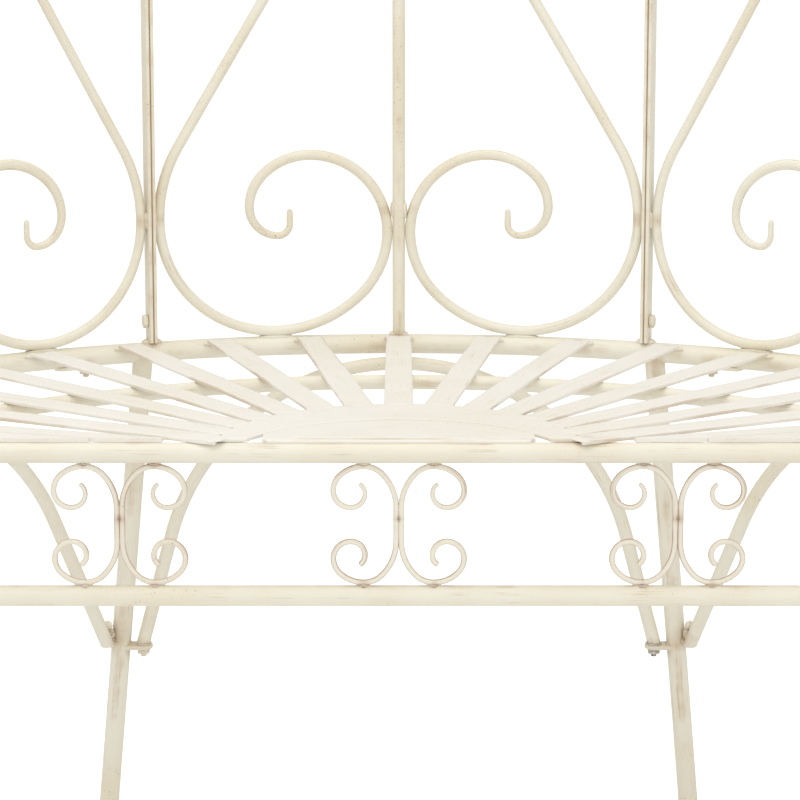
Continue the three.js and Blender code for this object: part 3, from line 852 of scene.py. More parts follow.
# ---- Sub-assemblies ----------------------------------------------------------------------------
@dataclass
class SeatFrame:
    """Outer rail, front rails and inner arcs."""

    shop: Workshop
    layout: Layout
    front_tube: float = 0.016
    inner_tube: float = 0.013
    middle_inset: float = 0.188
    hub_forward: float = 0.010
    hub_radius: float = 0.1425

    def level_arc(
        self, centre_y: float, radius: float, angle: float, z: float, rod: float
    ) -> bmesh.types.BMesh:
        """Bends a level arc.

        Args:
            centre_y: Where its centre lies on the Y axis.
            radius: Its radius.
            angle: Half the angle it spans, in radians.
            z: Height of its axis.
            rod: Radius of its bar.

        Returns:
            The closed mesh.
        """
        start = Vector((-radius * math.sin(angle), 0.0, radius * math.cos(angle)))
        bar = BentRod(rod, start, math.degrees(angle), 24)
        mesh = bar.bend(radius, 2 * math.degrees(angle), 0.009).close()
        lay = Matrix.Translation((0, centre_y, z)) @ Matrix.Rotation(-math.pi / 2, 4, "X")
        bmesh.ops.transform(mesh, matrix=lay, verts=mesh.verts)
        return mesh

    def build(self) -> None:
        """Makes the rails and arcs."""
        lay = self.layout
        outer = self.level_arc(lay.centre_y, lay.radius, lay.corner - 0.008, lay.outer_z, lay.frame_tube / 2)
        self.shop.deliver("outer_rail_bar", outer, Finish.FRAME, ["outer_rail"])
        for name, z in (("upper", lay.front_z), ("lower", lay.lower_z)):
            low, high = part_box(f"front_rail_{name}")
            inset = self.front_tube * 0.1
            ends = [Vector((x, lay.front, z)) for x in (low.x + inset, high.x - inset)]
            rail = straight_rod(ends[0], ends[1], self.front_tube / 2)
            self.shop.deliver(f"front_rail_{name}_bar", rail, Finish.FRAME, [f"front_rail_{name}"])
            for end in ends:
                self.shop.joint(end, 0.016)
        arcs = (
            ("middle_arc", lay.centre_y, lay.radius - self.middle_inset),
            ("hub_arc", lay.front - self.hub_forward, self.hub_radius),
        )
        z = lay.crown - self.inner_tube / 2
        for name, centre_y, radius in arcs:
            angle = math.acos((lay.front - centre_y) / radius)
            mesh = self.level_arc(centre_y, radius, angle, z, self.inner_tube / 2)
            self.shop.deliver(f"{name}_bar", mesh, Finish.FRAME, [name])
            for sign in (-1, 1):
                end = Vector((sign * radius * math.sin(angle), lay.front + self.front_tube / 2, z))
                self.shop.joint(end, 0.014)


@dataclass
class SlatFan:
    """The fan of flat slats from the hub to the outer rail."""

    shop: Workshop
    layout: Layout
    frame: SeatFrame
    width: float = 0.0245
    fan_forward: float = 0.066
    per_side: int = 8
    last_margin: float = 11.2
    edge_margin: float = 7.9
    bearing: float = 0.003
    seam_radius: float = 0.134
    inner_plate_half: float = 0.105
    seat_share: float = 0.6
    hub_columns: tuple[int, int] = (72, 60)
    hub_rows: int = 8
    hub_weld: float = 0.0019
    drop: tuple[float, float, float] = (0.0052, 0.0022, 0.0019)
    drop_shares: tuple[float, ...] = (-0.4, 0.0, 0.4)

    def angles(self) -> list[float]:
        """Gives each slat's outer end, in radians round the outer rail."""
        corner = math.degrees(self.layout.corner)
        step = (corner - self.last_margin) / self.per_side
        inner = [i * step for i in range(-self.per_side, self.per_side + 1)]
        return [math.radians(a) for a in (-(corner - self.edge_margin), *inner, corner - self.edge_margin)]

    def course(self, angle: float) -> Vector:
        """Gives the direction of the slat that ends at an angle of the outer rail."""
        end = self.layout.on_back(angle * self.layout.radius, 0.0)
        return (end - self.fan()).normalized()

    def fan(self) -> Vector:
        """Gives the point that every slat aims at."""
        return Vector((0.0, self.layout.front - self.fan_forward, 0.0))

    def start(self, course: Vector) -> tuple[Vector, Vector]:
        """Finds where a slat's inner end rests.

        Args:
            course: The slat's direction.

        Returns:
            The end's middle, and the direction that faces away from the slat there.
        """
        hub = Vector((0.0, self.layout.front - self.frame.hub_forward, 0.0))
        radius = self.frame.hub_radius - self.bearing
        from_hub = self.fan() - hub
        inward = from_hub.dot(course)
        on_hub = -inward + math.sqrt(inward**2 + radius**2 - from_hub.length_squared)
        on_rail = self.fan_forward / course.y
        if on_hub > on_rail:
            point = self.fan() + course * on_hub
            return point, (hub - point).normalized()
        return self.fan() + course * on_rail, Vector((0.0, -1.0, 0.0))

    def slat(self, angle: float, neighbours: Sequence[float]) -> bmesh.types.BMesh:
        """Makes one slat.

        Args:
            angle: Its outer end, in radians round the outer rail.
            neighbours: The angles of the slats beside it.

        Returns:
            The mesh in its place.
        """
        lay = self.layout
        course = self.course(angle)
        inner, away = self.start(course)
        outer = lay.on_back(angle * lay.radius, 0.0)
        shoulder = lay.frame_tube * 0.5
        spare = self.width
        mesh = flat_bar(self.width, lay.slat_thick, (outer - inner).length + 2 * spare)
        middle_z = lay.slat_top - lay.slat_thick / 2
        place = pointed(Vector((inner.x, inner.y, middle_z)) - course * spare, course)
        bmesh.ops.transform(mesh, matrix=place, verts=mesh.verts)
        slice_off(mesh, inner, away)
        radial = Vector((math.sin(angle), math.cos(angle), 0.0))
        slice_off(mesh, lay.on_back(angle * lay.radius, 0.0, -shoulder), radial)
        for other in neighbours:
            half_way = (course + self.course(other)).normalized()
            side = Vector((half_way.y, -half_way.x, 0.0))
            if side.dot(course) > 0:
                side = -side
            slice_off(mesh, self.fan() - side * lay.weld_gap, side)
        return mesh

    def behind(self, forward: float, radius: float, share: float, low: float = 0.0) -> tuple[float, float]:
        """Gives a point of a hub line, which curves about a point in front of the front rail.

        Args:
            forward: How far in front of the front rail the curve's centre lies.
            radius: The curve's radius.
            share: Where along it the point lies, from 0 at the right to 1 at the left.
            low: How far behind the front rail it starts and ends.

        Returns:
            The point's X, and how far behind the front rail it lies.
        """
        rise = math.asin((low + forward) / radius)
        turn = rise + share * (math.pi - 2 * rise)
        return radius * math.cos(turn), radius * math.sin(turn) - forward

    def hub_plates(self) -> None:
        """Makes the two level plates of the hub."""
        lay = self.layout
        half = self.width * self.seat_share
        seat = math.sqrt((self.frame.hub_radius - self.bearing) ** 2 - half**2) - lay.weld_gap
        inner = self.seam_radius - lay.weld_gap
        shoulder = math.sqrt(inner**2 - self.inner_plate_half**2) - self.fan_forward

        def band(along: float, across: float) -> Vector:
            """Gives a point of the outer plate, between the slats' ends and the seam."""
            far = self.behind(self.frame.hub_forward, seat, along)
            near = self.behind(self.fan_forward, self.seam_radius, along)
            x, y = (a + (b - a) * across for a, b in zip(far, near))
            return Vector((x, lay.front + y, lay.slat_top))

        def plate(along: float, across: float) -> Vector:
            """Gives a point of the inner plate, between the seam and the front rail."""
            x, y = self.behind(self.fan_forward, inner, along, shoulder)
            return Vector((x, lay.front + y * (1.0 - across), lay.slat_top))

        for name, place, columns in zip(("band", "plate"), (band, plate), self.hub_columns):
            mesh = sheet(place, lay.slat_thick, columns, self.hub_rows)
            self.shop.deliver(f"hub_{name}_sheet", mesh, Finish.SLAT, [f"hub_{name}"])
        reach, foot = self.inner_plate_half - 0.004, lay.crown + 0.0009
        left, right = (Vector((x, lay.front - 0.0006, foot)) for x in (-reach, reach))
        self.shop.deliver("hub_plate_weld", straight_rod(left, right, self.hub_weld, 12), Finish.SLAT)

    def build(self) -> None:
        """Makes the slats, the hub's plates and the welds at their ends."""
        lay = self.layout
        angles = self.angles()
        beads, blends = [], []
        for i, angle in enumerate(angles):
            beside = [angles[k] for k in (i - 1, i + 1) if 0 <= k < len(angles)]
            name = f"slat_{i + 1:02d}"
            self.shop.deliver(f"{name}_bar", self.slat(angle, beside), Finish.SLAT, [name])
            end = lay.on_back(angle * lay.radius, lay.slat_top - lay.slat_thick / 2, -lay.frame_tube / 2)
            inner, _ = self.start(self.course(angle))
            self.shop.joint(end, 0.0075)
            for shift in self.drop_shares:
                arc = angle * lay.radius + shift * self.width
                low = lay.on_back(arc, lay.slat_top - lay.slat_thick, -0.0088)
                beads.append(bead(low, Vector(self.drop), -angle))
            if abs(inner.y - lay.front) < 1e-6:
                continue
            course = self.course(angle)
            seam = Vector((inner.x, inner.y, lay.slat_top - 0.0006))
            size = Vector((0.0065, self.width * 0.52, 0.0011))
            blends.append(bead(seam, size, math.atan2(course.y, course.x), 0.03))
        self.hub_plates()
        self.shop.deliver("slat_welds", gathered(beads), Finish.FRAME)
        self.shop.deliver("slat_blends", gathered(blends), Finish.SLAT)


@dataclass
class Skirt:
    """The pairs of wire scrolls between the front rails."""

    shop: Workshop
    layout: Layout
    frame: SeatFrame
    wire: float = 0.0045
    pairs: int = 5
    stem_lap: float = 0.0004
    drawn: float = 0.035
    drawn_share: float = 0.75
    touch_shares: tuple[float, float] = (0.29, 0.707)
    stem_weld_rise: float = 0.006
    bends: tuple[Run, ...] = (
        (0.037, 45), (0.020, 45), (0.0265, 45), (0.016, 45), (0.0135, 90), (0.011, 90), (0.009, 50),
    )

    def runs(self) -> tuple[Vector, float, list[Run]]:
        """Lays out one C, its stem beside the pair's middle.

        Returns:
            Where it starts, its heading there, and its runs.
        """
        lay = self.layout
        top = lay.front_z - self.frame.front_tube / 2 - lay.weld_gap - self.wire / 2
        middle = (lay.front_z + lay.lower_z) / 2
        stem = Vector((self.wire / 2 - self.stem_lap / 2, 0.0, middle))
        rise = trace(stem, 90, self.bends[:2])[0].z - middle
        half = top - middle - rise
        end, heading = trace(stem, 90, [(half,), *self.bends])
        start = Vector((end.x, 0.0, 2 * middle - end.z))
        return start, 180 - heading, [*reversed(self.bends), (2 * half,), *self.bends]

    def build(self) -> None:
        """Makes the pairs and their welds."""
        lay = self.layout
        start, heading, runs = self.runs()
        spacing = lay.width / (self.pairs + 1)
        beads = []
        outer, inner = self.touch_shares
        touch_x = self.wire / 2 + self.bends[0][0] * outer + self.bends[1][0] * inner
        for i in range(self.pairs):
            middle = (i - (self.pairs - 1) / 2) * spacing
            wires = []
            for hand in (1, -1):
                rod = BentRod(self.wire / 2, start, heading, 14).follow(runs)
                mesh = rod.taper(self.drawn, self.drawn_share).close(0.6)
                place = Matrix.Translation((middle, lay.front, 0.0)) @ Matrix.Scale(hand, 4, (1, 0, 0))
                wires.append(laid(mesh, lambda co, place=place: place @ co))
                for z, sign in ((lay.front_z, -1), (lay.lower_z, 1)):
                    at = Vector((middle + hand * touch_x, lay.front, z + sign * self.frame.front_tube / 2))
                    drop = at + Vector((0.0, -self.wire * 0.35, -sign * self.wire * 0.1))
                    beads.append(bead(drop, Vector((0.0030, 0.0022, 0.0021)), 0.0, 0.3))
                    beads.append(bead(at, Vector((0.0058, 0.0022, 0.0012))))
                    self.shop.joint(drop, 0.0062)
            name = f"skirt_scroll_{i + 1}"
            self.shop.deliver(f"{name}_wires", gathered(wires), Finish.WIRE, [name])
            stem_z = (lay.front_z + lay.lower_z) / 2 + self.stem_weld_rise
            stem = Vector((middle, lay.front + self.wire * 0.2, stem_z))
            beads.append(bead(stem, Vector((0.0016, 0.0022, 0.0055))))
            self.shop.joint(stem, 0.0085)
        self.shop.deliver("skirt_welds", gathered(beads), Finish.WIRE)


@dataclass
class Panel:
    """One panel of the back: an arched top on two posts, a centre bar and two scrolls."""

    shop: Workshop
    layout: Layout
    name: str
    centre: float
    width: float
    top_tube: float = 0.016
    bar_rod: float = 0.012
    scroll_rod: float = 0.010
    rise: float = 0.055
    post_wide: float = 0.020
    post_thick: float = 0.0035
    lean: float = 31.0
    shoulder: float = 0.134
    span: float = 0.220
    tip: float = 0.011
    drawn: float = 0.10
    drawn_share: float = 0.58
    bends: tuple[Run, ...] = (
        (0.112, 90), (0.117, 45), (0.087, 45), (0.075, 90),
        (0.064, 45), (0.044, 45), (0.028, 90), (0.011, 90),
    )

    @property
    def edge(self) -> float:
        """Half the panel's width, less half the gap between panels."""
        return self.width / 2 - self.layout.weld_gap / 2

    @property
    def crown(self) -> float:
        """Height of the arch's axis at its middle."""
        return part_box(f"panel_{self.name}_frame")[1].z - self.top_tube / 2

    @property
    def foot(self) -> float:
        """Height of the posts' feet."""
        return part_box(f"panel_{self.name}_frame")[0].z

    @property
    def arch_radius(self) -> float:
        """Radius of the arched top."""
        return (self.edge**2 + self.rise**2) / (2 * self.rise)

    def arch_height(self, arc: float) -> float:
        """Gives the height of the arch's axis over a place along the panel."""
        return self.crown - self.arch_radius + math.sqrt(self.arch_radius**2 - arc**2)

    def wrap(self, co: Vector) -> Vector:
        """Lays a flat panel's point (along, outward, height) onto the curve of the back."""
        return self.layout.on_back(self.centre + co.x, co.z, co.y)

    def arch(self) -> bmesh.types.BMesh:
        """Bends the arched top."""
        swing = math.degrees(math.asin(self.edge / self.arch_radius))
        start = Vector((-self.edge, 0.0, self.crown - self.rise))
        rod = BentRod(self.top_tube / 2, start, swing, 24)
        mesh = rod.bend(self.arch_radius, 2 * swing, 0.008).close(0.1)
        for sign in (-1, 1):
            slice_off(mesh, Vector((sign * self.edge, 0, 0)), Vector((sign, 0, 0)))
        return laid(mesh, self.wrap)

    def post(self, sign: int) -> bmesh.types.BMesh:
        """Makes a post of flat bar, its wide face on a radius of the seat."""
        middle = self.edge - self.post_thick / 2
        top = self.arch_height(middle)
        mesh = flat_bar(self.post_wide, self.post_thick, top - self.foot)
        stand = Matrix.Translation((sign * middle, 0, self.foot)) @ Matrix.Rotation(-math.pi / 2, 4, "Y")
        bmesh.ops.transform(mesh, matrix=stand, verts=mesh.verts)
        rim = mesh.verts.layers.float["edge"]
        for vert in mesh.verts:
            if sign * vert.co.x > middle + self.post_thick * 0.3:
                vert[rim] = 1.5
        return laid(mesh, self.wrap)

    def scroll(self, sign: int) -> bmesh.types.BMesh:
        """Bends one scroll, from the arched top down, round and in to its tip."""
        near = (self.bar_rod + self.scroll_rod) / 2 + self.layout.weld_gap
        far = self.edge - self.post_thick - self.layout.weld_gap - self.scroll_rod / 2
        stretch = (far - near) / self.span
        turn = math.radians(self.lean)
        low = self.foot + self.scroll_rod / 2
        widest = Vector((self.span, 0.0, low + self.bends[0][0]))
        neck = widest + Vector((-self.shoulder * (1 - math.cos(turn)), 0.0, self.shoulder * math.sin(turn)))
        run = 0.0
        for _ in range(30):
            arc = near + stretch * (neck.x - run * math.sin(turn))
            run = (self.arch_height(arc) - neck.z) / math.cos(turn)
        start = neck + Vector((-math.sin(turn), 0.0, math.cos(turn))) * run
        rod = BentRod(self.scroll_rod / 2, start, self.lean - 90, 20)
        rod.follow([(run,), (self.shoulder, self.lean), *self.bends, (self.tip,)])
        mesh = rod.taper(self.drawn, self.drawn_share).close(0.7)

        def place(co: Vector) -> Vector:
            """Stretches and mirrors the flat scroll, and lays it on the back."""
            return self.wrap(Vector((sign * (near + stretch * co.x), co.y, co.z)))

        for x, z, reach in ((self.span, widest.z, 0.011), (0.0, low + self.bends[1][0], 0.011)):
            self.shop.joint(place(Vector((x, 0.0, z))), reach)
        self.shop.joint(place(start), 0.016)
        return laid(mesh, place)

    def welds(self) -> bmesh.types.BMesh:
        """Makes the drops of weld where the panel's bars meet."""
        near = (self.bar_rod + self.scroll_rod) / 2
        far = self.edge - self.post_thick
        low = self.foot + self.scroll_rod / 2
        stretch = (far - self.scroll_rod / 2 - near) / self.span
        beads = []
        for sign in (-1, 1):
            spots = (
                (far - 0.0006, low + self.bends[0][0], 0.0022, 0.008),
                (near - self.scroll_rod / 2, low + self.bends[1][0], 0.0022, 0.008),
                (near + stretch * (self.span - self.bends[0][0]), self.foot - 0.0004, 0.016, 0.0016),
                (self.edge - 0.005, self.foot, 0.004, 0.0024),
                (0.005, self.foot, 0.0045, 0.0024),
            )
            for arc, z, wide, tall in spots:
                turn = -(self.centre + sign * arc) / self.layout.radius
                for outward in (-0.0026, 0.0026):
                    at = self.wrap(Vector((sign * arc, outward, z)))
                    beads.append(bead(at, Vector((wide, 0.0022, tall)), turn))
        return gathered(beads)

    def build(self) -> None:
        """Makes the panel's pieces."""
        prefix = f"panel_{self.name}"
        body = gathered([self.arch(), self.post(-1), self.post(1)])
        self.shop.deliver(f"{prefix}_arch_posts", body, Finish.FRAME, [f"{prefix}_frame"])
        low, high = (self.wrap(Vector((0, 0, z))) for z in (self.foot, self.crown))
        bar = straight_rod(low, high, self.bar_rod / 2)
        self.shop.deliver(f"{prefix}_centre_bar", bar, Finish.FRAME, [f"{prefix}_bar"])
        for side, sign in SIDES:
            name = f"{prefix}_scroll_{side}"
            self.shop.deliver(f"{name}_rod", self.scroll(sign), Finish.FRAME, [name])
            for z in (self.foot, self.crown - self.rise):
                self.shop.joint(self.wrap(Vector((sign * self.edge, 0, z))), 0.013)
        self.shop.joint(low, 0.009)
        self.shop.joint(high, 0.012)
        self.shop.deliver(f"{prefix}_welds", self.welds(), Finish.FRAME)


@dataclass
class Fasteners:
    """Studs, nuts, washers and bolts."""

    shop: Workshop
    shank: float = 0.006
    across: float = 0.0132
    pitch: float = 0.001
    nut_height: float = 0.005
    hang: float = 0.008
    washer_thick: float = 0.0012

    def stud(self, low: float, high: float) -> bmesh.types.BMesh:
        """Turns a threaded stud between two heights.

        Args:
            low: Its lower end.
            high: Its upper end.

        Returns:
            The mesh about the Z axis.
        """
        radius, z = self.shank / 2, low
        points = [(0.0, low), (radius * 0.8, low), (radius * 0.86, low + self.pitch * 0.4)]
        while z + self.pitch < high:
            points += [(radius, z + self.pitch * 0.75), (radius * 0.84, z + self.pitch * 1.25)]
            z += self.pitch
        points += [(radius * 0.84, high), (0.0, high)]
        return turned(points, 16)

    def washer(self, low: float, radius: float = 0.008) -> bmesh.types.BMesh:
        """Turns a washer whose underside is at a height."""
        thick = self.washer_thick
        inner, soft = self.shank / 2 + 0.0002, thick * 0.25
        points = (
            (inner, low), (radius - soft, low), (radius, low + soft), (radius, low + thick - soft),
            (radius - soft, low + thick), (inner, low + thick), (inner, low),
        )
        return turned(points, 28)

    def nut(self, high: float) -> bmesh.types.BMesh:
        """Makes a nut whose upper face is at a height."""
        mesh = hexagon(self.across, self.nut_height)
        bmesh.ops.translate(mesh, vec=(0, 0, high - self.nut_height), verts=mesh.verts)
        return mesh

    def standing(self, node: str, point: Vector, meshes: list[bmesh.types.BMesh], finish: Finish) -> None:
        """Delivers an upright fastener whose parts were made about the Z axis."""
        mesh = gathered(meshes)
        bmesh.ops.translate(mesh, vec=(point.x, point.y, 0), verts=mesh.verts)
        self.shop.deliver(f"{node}_set", mesh, finish, [node])


@dataclass
class Underframe:
    """Legs, tabs, arched braces and the bolts that hold them."""

    shop: Workshop
    layout: Layout
    bolts: Fasteners
    pair_arc: float = 0.241
    rear_offset: float = 0.009
    splay_out: float = 0.044
    splay_away: float = 0.029
    tab_top: float = 0.166
    tab_reach: float = 0.022
    tab_wide: float = 0.018
    tab_thick: float = 0.004
    brace_tube: float = 0.013
    crown_drop: float = 0.021
    clip_past: float = 0.056
    clip_reach: float = 0.022
    clip_wide: float = 0.017
    clip_thick: float = 0.003
    lean_rear: float = 15.0
    lean_side: float = 24.5
    tops: dict[str, Vector] = field(default_factory=dict)
    slopes: dict[str, Vector] = field(default_factory=dict)

    def __post_init__(self) -> None:
        """Places the four legs."""
        lay = self.layout
        for side, sign in SIDES:
            rear = lay.on_back(sign * (self.pair_arc + self.rear_offset), lay.outer_z - lay.frame_tube / 4)
            front = Vector((sign * lay.width / 2, lay.front, lay.crown))
            for name, top, away in (("rear", rear, self.splay_away), ("front", front, -self.splay_away)):
                self.tops[f"{name}_{side}"] = top
                self.slopes[f"{name}_{side}"] = Vector((sign * self.splay_out, away, -top.z)) / top.z

    def at(self, leg: str, z: float) -> Vector:
        """Gives the point of a leg's axis at a height."""
        return self.tops[leg] + self.slopes[leg] * (self.tops[leg].z - z)

    def stud(self, leg: str, toward: str) -> Vector:
        """Gives the point of a leg's stud, on its tab towards another leg."""
        root = self.at(leg, self.tab_top)
        return root + (self.at(toward, self.tab_top) - root).normalized() * self.tab_reach

    def leg(self, leg: str, toward: str) -> bmesh.types.BMesh:
        """Makes a leg with its tab and the tab's weld, its foot cut level at the floor."""
        lay = self.layout
        mesh = straight_rod(self.tops[leg], self.at(leg, -lay.frame_tube), lay.frame_tube / 2, 28)
        slice_off(mesh, Vector(), Vector((0, 0, -1)))
        stud = self.stud(leg, toward)
        tab = slot_plate(self.tab_reach + self.tab_wide / 2, self.tab_wide, self.tab_thick)
        bmesh.ops.transform(tab, matrix=pointed(stud, stud - self.at(leg, self.tab_top)), verts=tab.verts)
        root = self.at(leg, self.tab_top - self.tab_thick / 2)
        ahead = (stud - self.at(leg, self.tab_top)).normalized()
        seam = root + ahead * lay.frame_tube * 0.5
        drop = bead(seam, Vector((0.003, 0.0085, 0.0038)), math.atan2(ahead.y, ahead.x))
        self.shop.joint(seam, 0.013)
        return gathered([mesh, tab, drop])

    def brace(self, start: Vector, end: Vector, lean: float) -> bmesh.types.BMesh:
        """Bends an arched brace.

        Args:
            start: The foot it starts from.
            end: The foot it ends at.
            lean: Degrees from upright of its straight ends.

        Returns:
            The mesh in its place.
        """
        foot = self.foot_z()
        rise = self.layout.slat_top - self.layout.slat_thick - self.crown_drop - foot
        turn = math.radians(lean)
        half = (end - start).length / 2
        spread = math.cos(turn) - (1 - math.sin(turn)) * math.tan(turn)
        radius = (half - rise * math.tan(turn)) / spread
        run = (rise - radius * (1 - math.sin(turn))) / math.cos(turn)
        spare = self.brace_tube / 2
        first = Vector((-half - spare * math.sin(turn), 0.0, foot - spare * math.cos(turn)))
        rod = BentRod(self.brace_tube / 2, first, 90 - lean, 24)
        mesh = rod.follow([(run + spare,), (radius, 180 - 2 * lean), (run + spare,)]).close()
        slice_off(mesh, Vector((0, 0, foot)), Vector((0, 0, -1)))
        middle = (start + end) / 2
        place = pointed(Vector((middle.x, middle.y, 0)), end - start)
        bmesh.ops.transform(mesh, matrix=place, verts=mesh.verts)
        return mesh

    def foot_z(self) -> float:
        """Gives the height of the braces' feet, on their washers."""
        return self.tab_top + 2 * self.layout.weld_gap + self.bolts.washer_thick

    def build(self) -> None:
        """Makes legs, braces, their bolts and the rail bolts."""
        lay = self.layout
        studs = {}
        for side, _ in SIDES:
            other = "right" if side == "left" else "left"
            for leg, toward in ((f"rear_{side}", f"rear_{other}"), (f"front_{side}", f"rear_{side}")):
                self.shop.deliver(f"leg_{leg}_tube", self.leg(leg, toward), Finish.FRAME, [f"leg_{leg}"])
                studs[leg] = self.stud(leg, toward)
                self.shop.joint(self.tops[leg], 0.018)
                self.shop.joint(studs[leg], 0.012)
                under = self.tab_top - self.tab_thick - lay.weld_gap
                painted = leg in ("rear_left", "front_right")
                parts = [
                    self.bolts.stud(under - self.bolts.hang, self.tab_top + 0.0008),
                    self.bolts.washer(self.tab_top + lay.weld_gap),
                    self.bolts.nut(under),
                ]
                finish = Finish.FRAME if painted else Finish.FASTENER
                self.bolts.standing(f"brace_bolt_{leg}", studs[leg], parts, finish)
        rear = self.brace(studs["rear_left"], studs["rear_right"], self.lean_rear)
        self.shop.deliver("brace_rear_arch", rear, Finish.FRAME, ["brace_rear"])
        welds = []
        for side, sign in SIDES:
            beside = self.at(f"rear_{side}", self.tab_top)
            toward = (studs[f"front_{side}"] - beside).normalized()
            foot = beside + toward * ((lay.frame_tube + self.brace_tube) / 2 + 3 * lay.weld_gap)
            mesh = self.brace(foot, studs[f"front_{side}"], self.lean_side)
            self.shop.deliver(f"brace_{side}_arch", mesh, Finish.FRAME, [f"brace_{side}"])
            seam = foot - toward * self.brace_tube * 0.45
            for height, tall in ((0.004, 0.004), (0.012, 0.006), (0.021, 0.004)):
                at = Vector((seam.x, seam.y, self.foot_z() + height)) + toward * height * 0.25
                welds.append(bead(at, Vector((0.0035, 0.0052, tall)), math.atan2(toward.y, toward.x), 0.3))
            self.shop.joint(Vector((seam.x, seam.y, self.foot_z() + 0.01)), 0.022)
            self.rail_bolt(side, sign)
            top = self.tops[f"front_{side}"]
            for z in (lay.front_z, lay.lower_z):
                point = self.at(f"front_{side}", z) - Vector((sign * lay.frame_tube / 2, 0, 0))
                welds.append(bead(point, Vector((0.0028, 0.0082, 0.0082))))
            self.shop.joint(top, 0.02)
        self.shop.deliver("leg_welds", gathered(welds), Finish.FRAME)

    def rail_bolt(self, side: str, sign: int) -> None:
        """Makes the tab under the outer rail and the bolt that hangs from it."""
        lay = self.layout
        arc = sign * (self.pair_arc + self.rear_offset + self.clip_past)
        point = lay.on_back(arc, 0.0)
        top = lay.outer_z - lay.frame_tube / 2 + 0.0015
        plate = slot_plate(self.clip_reach + self.clip_wide / 2, self.clip_wide, self.clip_thick)
        inward = lay.on_back(arc - sign * 0.001, 0.0) - point
        place = pointed(Vector((point.x, point.y, top)), inward)
        bmesh.ops.transform(plate, matrix=place, verts=plate.verts)
        self.shop.deliver(f"rail_tab_{side}", plate, Finish.FRAME)
        self.shop.joint(Vector((point.x, point.y, top)), 0.016)
        nut_top = top - self.clip_thick - lay.weld_gap
        parts = [self.bolts.stud(nut_top - self.bolts.hang, nut_top + 0.002), self.bolts.nut(nut_top)]
        self.bolts.standing(f"rail_bolt_{side}", point, parts, Finish.FRAME)


@dataclass
class Back:
    """The three panels of the back and the bolts through their paired posts."""

    shop: Workshop
    layout: Layout
    bolts: Fasteners
    centre_width: float = 0.482
    side_width: float = 0.428
    low_rise: float = 0.020
    high_drop: float = 0.018
    head: float = 0.0045

    def build(self) -> None:
        """Makes the panels and their bolts."""
        side = self.centre_width / 2 + self.side_width / 2
        panels = [
            Panel(self.shop, self.layout, "left", -side, self.side_width),
            Panel(self.shop, self.layout, "centre", 0.0, self.centre_width),
            Panel(self.shop, self.layout, "right", side, self.side_width),
        ]
        for panel in panels:
            panel.build()
        centre = panels[1]
        heights = {"low": centre.foot + self.low_rise, "high": centre.crown - centre.rise - self.high_drop}
        for name, sign in SIDES:
            for level, z in heights.items():
                self.bolt(name, sign, level, z, centre.post_thick)

    def bolt(self, side: str, sign: int, level: str, z: float, thick: float) -> None:
        """Makes one bolt, its head on the side panel's post."""
        grip = thick + 1.5 * self.layout.weld_gap
        head = hexagon(self.bolts.across, self.head)
        bmesh.ops.translate(head, vec=(0, 0, grip), verts=head.verts)
        mesh = gathered([head, self.bolts.stud(-thick - 0.00015, grip + self.head / 2)])
        turn = sign * self.centre_width / 2 / self.layout.radius
        outward = Vector((sign * math.cos(turn), -abs(math.sin(turn)), 0.0))
        point = self.layout.on_back(sign * self.centre_width / 2, z)
        stand = Vector((0, 0, 1)).rotation_difference(outward).to_matrix().to_4x4()
        bmesh.ops.transform(mesh, matrix=Matrix.Translation(point) @ stand, verts=mesh.verts)
        name = f"post_bolt_{level}_{side}"
        self.shop.deliver(f"{name}_set", mesh, Finish.FRAME, [name])
        self.shop.joint(point + outward * grip, 0.010)


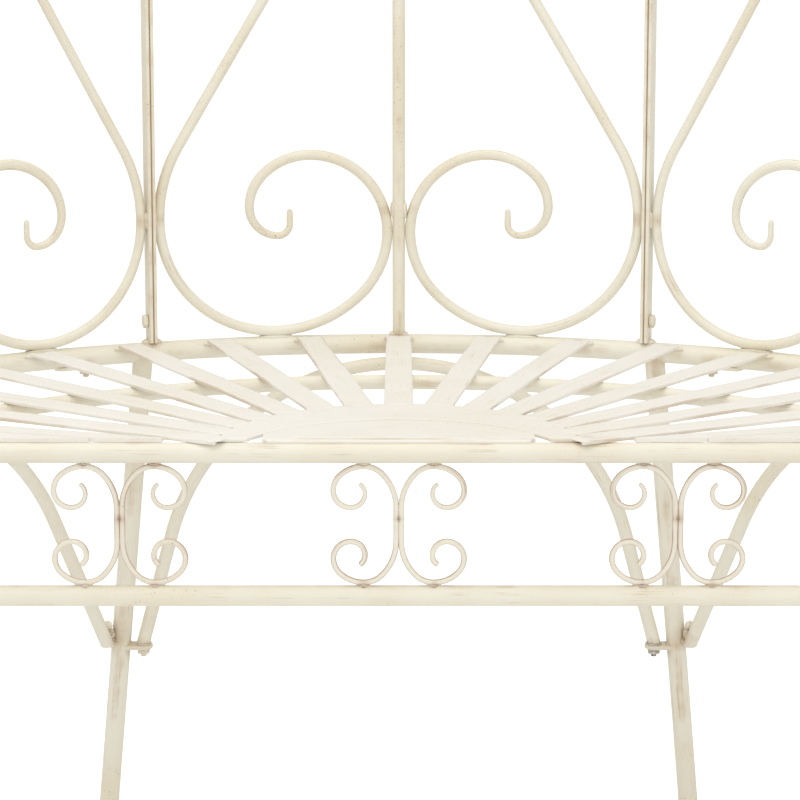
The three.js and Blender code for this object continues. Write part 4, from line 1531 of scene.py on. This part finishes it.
# ---- Studio ------------------------------------------------------------------------------------
@dataclass
class Studio:
    """A pale floor, soft light and the camera."""

    layout: Layout
    camera_back: float = 1.6143
    camera_height: float = 0.8399
    pitch: float = 7.64
    lens: float = 96.87
    shift_x: float = 0.0016
    shift_y: float = -0.2
    floor_size: float = 600.0
    floor_glow: float = 0.40
    air: float = 0.72
    overhead: tuple[float, float] = (3.0, 37.0)
    front_fill: tuple[float, float] = (2.4, 19.0)

    def floor(self) -> None:
        """Lays the floor."""
        mesh = bmesh.new()
        bmesh.ops.create_grid(mesh, x_segments=1, y_segments=1, size=self.floor_size / 2)
        data = bpy.data.meshes.new("studio_floor")
        mesh.to_mesh(data)
        mesh.free()
        g = Graph("studio_floor_paint")
        cloud = g.noise(g.coordinate(None, (0.6, 0.6, 0.6)), 2.0, 0.5)
        g.put(g.shader.inputs["Base Color"], g.mix(cloud, (0.93, 0.93, 0.93), (0.95, 0.95, 0.95)))
        g.shader.inputs["Roughness"].default_value = 0.9
        g.shader.inputs["Specular IOR Level"].default_value = 0.0
        g.shader.inputs["Emission Color"].default_value = (1.0, 1.0, 1.0, 1.0)
        seen = g.tree.nodes.new("ShaderNodeLightPath").outputs["Is Camera Ray"]
        g.put(g.shader.inputs["Emission Strength"], g.math("MULTIPLY", seen, self.floor_glow))
        data.materials.append(g.material)
        floor = bpy.data.objects.new("studio_floor", data)
        bpy.context.scene.collection.objects.link(floor)

    def lamp(self, name: str, place: Vector, aim: Vector, size: float, power: float) -> None:
        """Hangs a square soft light.

        Args:
            name: The light's name.
            place: Where it hangs.
            aim: Where it points.
            size: Its side in metres.
            power: Its power in watts.
        """
        data = bpy.data.lights.new(name, "AREA")
        data.size = size
        data.energy = power
        lamp = bpy.data.objects.new(name, data)
        lamp.location = place
        lamp.rotation_euler = (aim - place).to_track_quat("-Z", "Y").to_euler()
        bpy.context.scene.collection.objects.link(lamp)

    def build(self) -> None:
        """Makes the floor, the lights and the camera."""
        self.floor()
        world = bpy.data.worlds.new("studio_air")
        world.use_nodes = True
        world.node_tree.nodes["Background"].inputs["Color"].default_value = (1.0, 1.0, 1.0, 1.0)
        world.node_tree.nodes["Background"].inputs["Strength"].default_value = self.air
        scene = bpy.context.scene
        scene.world = world
        scene.view_settings.view_transform = "Standard"
        target = Vector((0.0, 0.0, 0.45))
        self.lamp("overhead", Vector((-0.6, -0.6, 3.2)), target, *self.overhead)
        self.lamp("front_fill", Vector((1.2, -3.4, 1.7)), target, *self.front_fill)
        data = bpy.data.cameras.new("view")
        data.sensor_width = 36.0
        data.lens = self.lens
        data.shift_x = self.shift_x
        data.shift_y = self.shift_y
        camera = bpy.data.objects.new("view", data)
        camera.location = (0.0, self.layout.front - self.camera_back, self.camera_height)
        camera.rotation_euler = (math.radians(90.0 - self.pitch), 0.0, 0.0)
        scene.collection.objects.link(camera)
        scene.camera = camera


def main() -> None:
    """Builds the bench's sub-assemblies in order, then the studio."""
    logging.basicConfig(level=logging.INFO, format="%(name)s: %(message)s")
    shop = Workshop()
    layout = Layout()
    seat = SeatFrame(shop, layout)
    bolts = Fasteners(shop)
    seat.build()
    SlatFan(shop, layout, seat).build()
    Skirt(shop, layout, seat).build()
    Underframe(shop, layout, bolts).build()
    Back(shop, layout, bolts).build()
    shop.hand_over()
    Studio(layout).build()


if __name__ == "__main__":
    main()
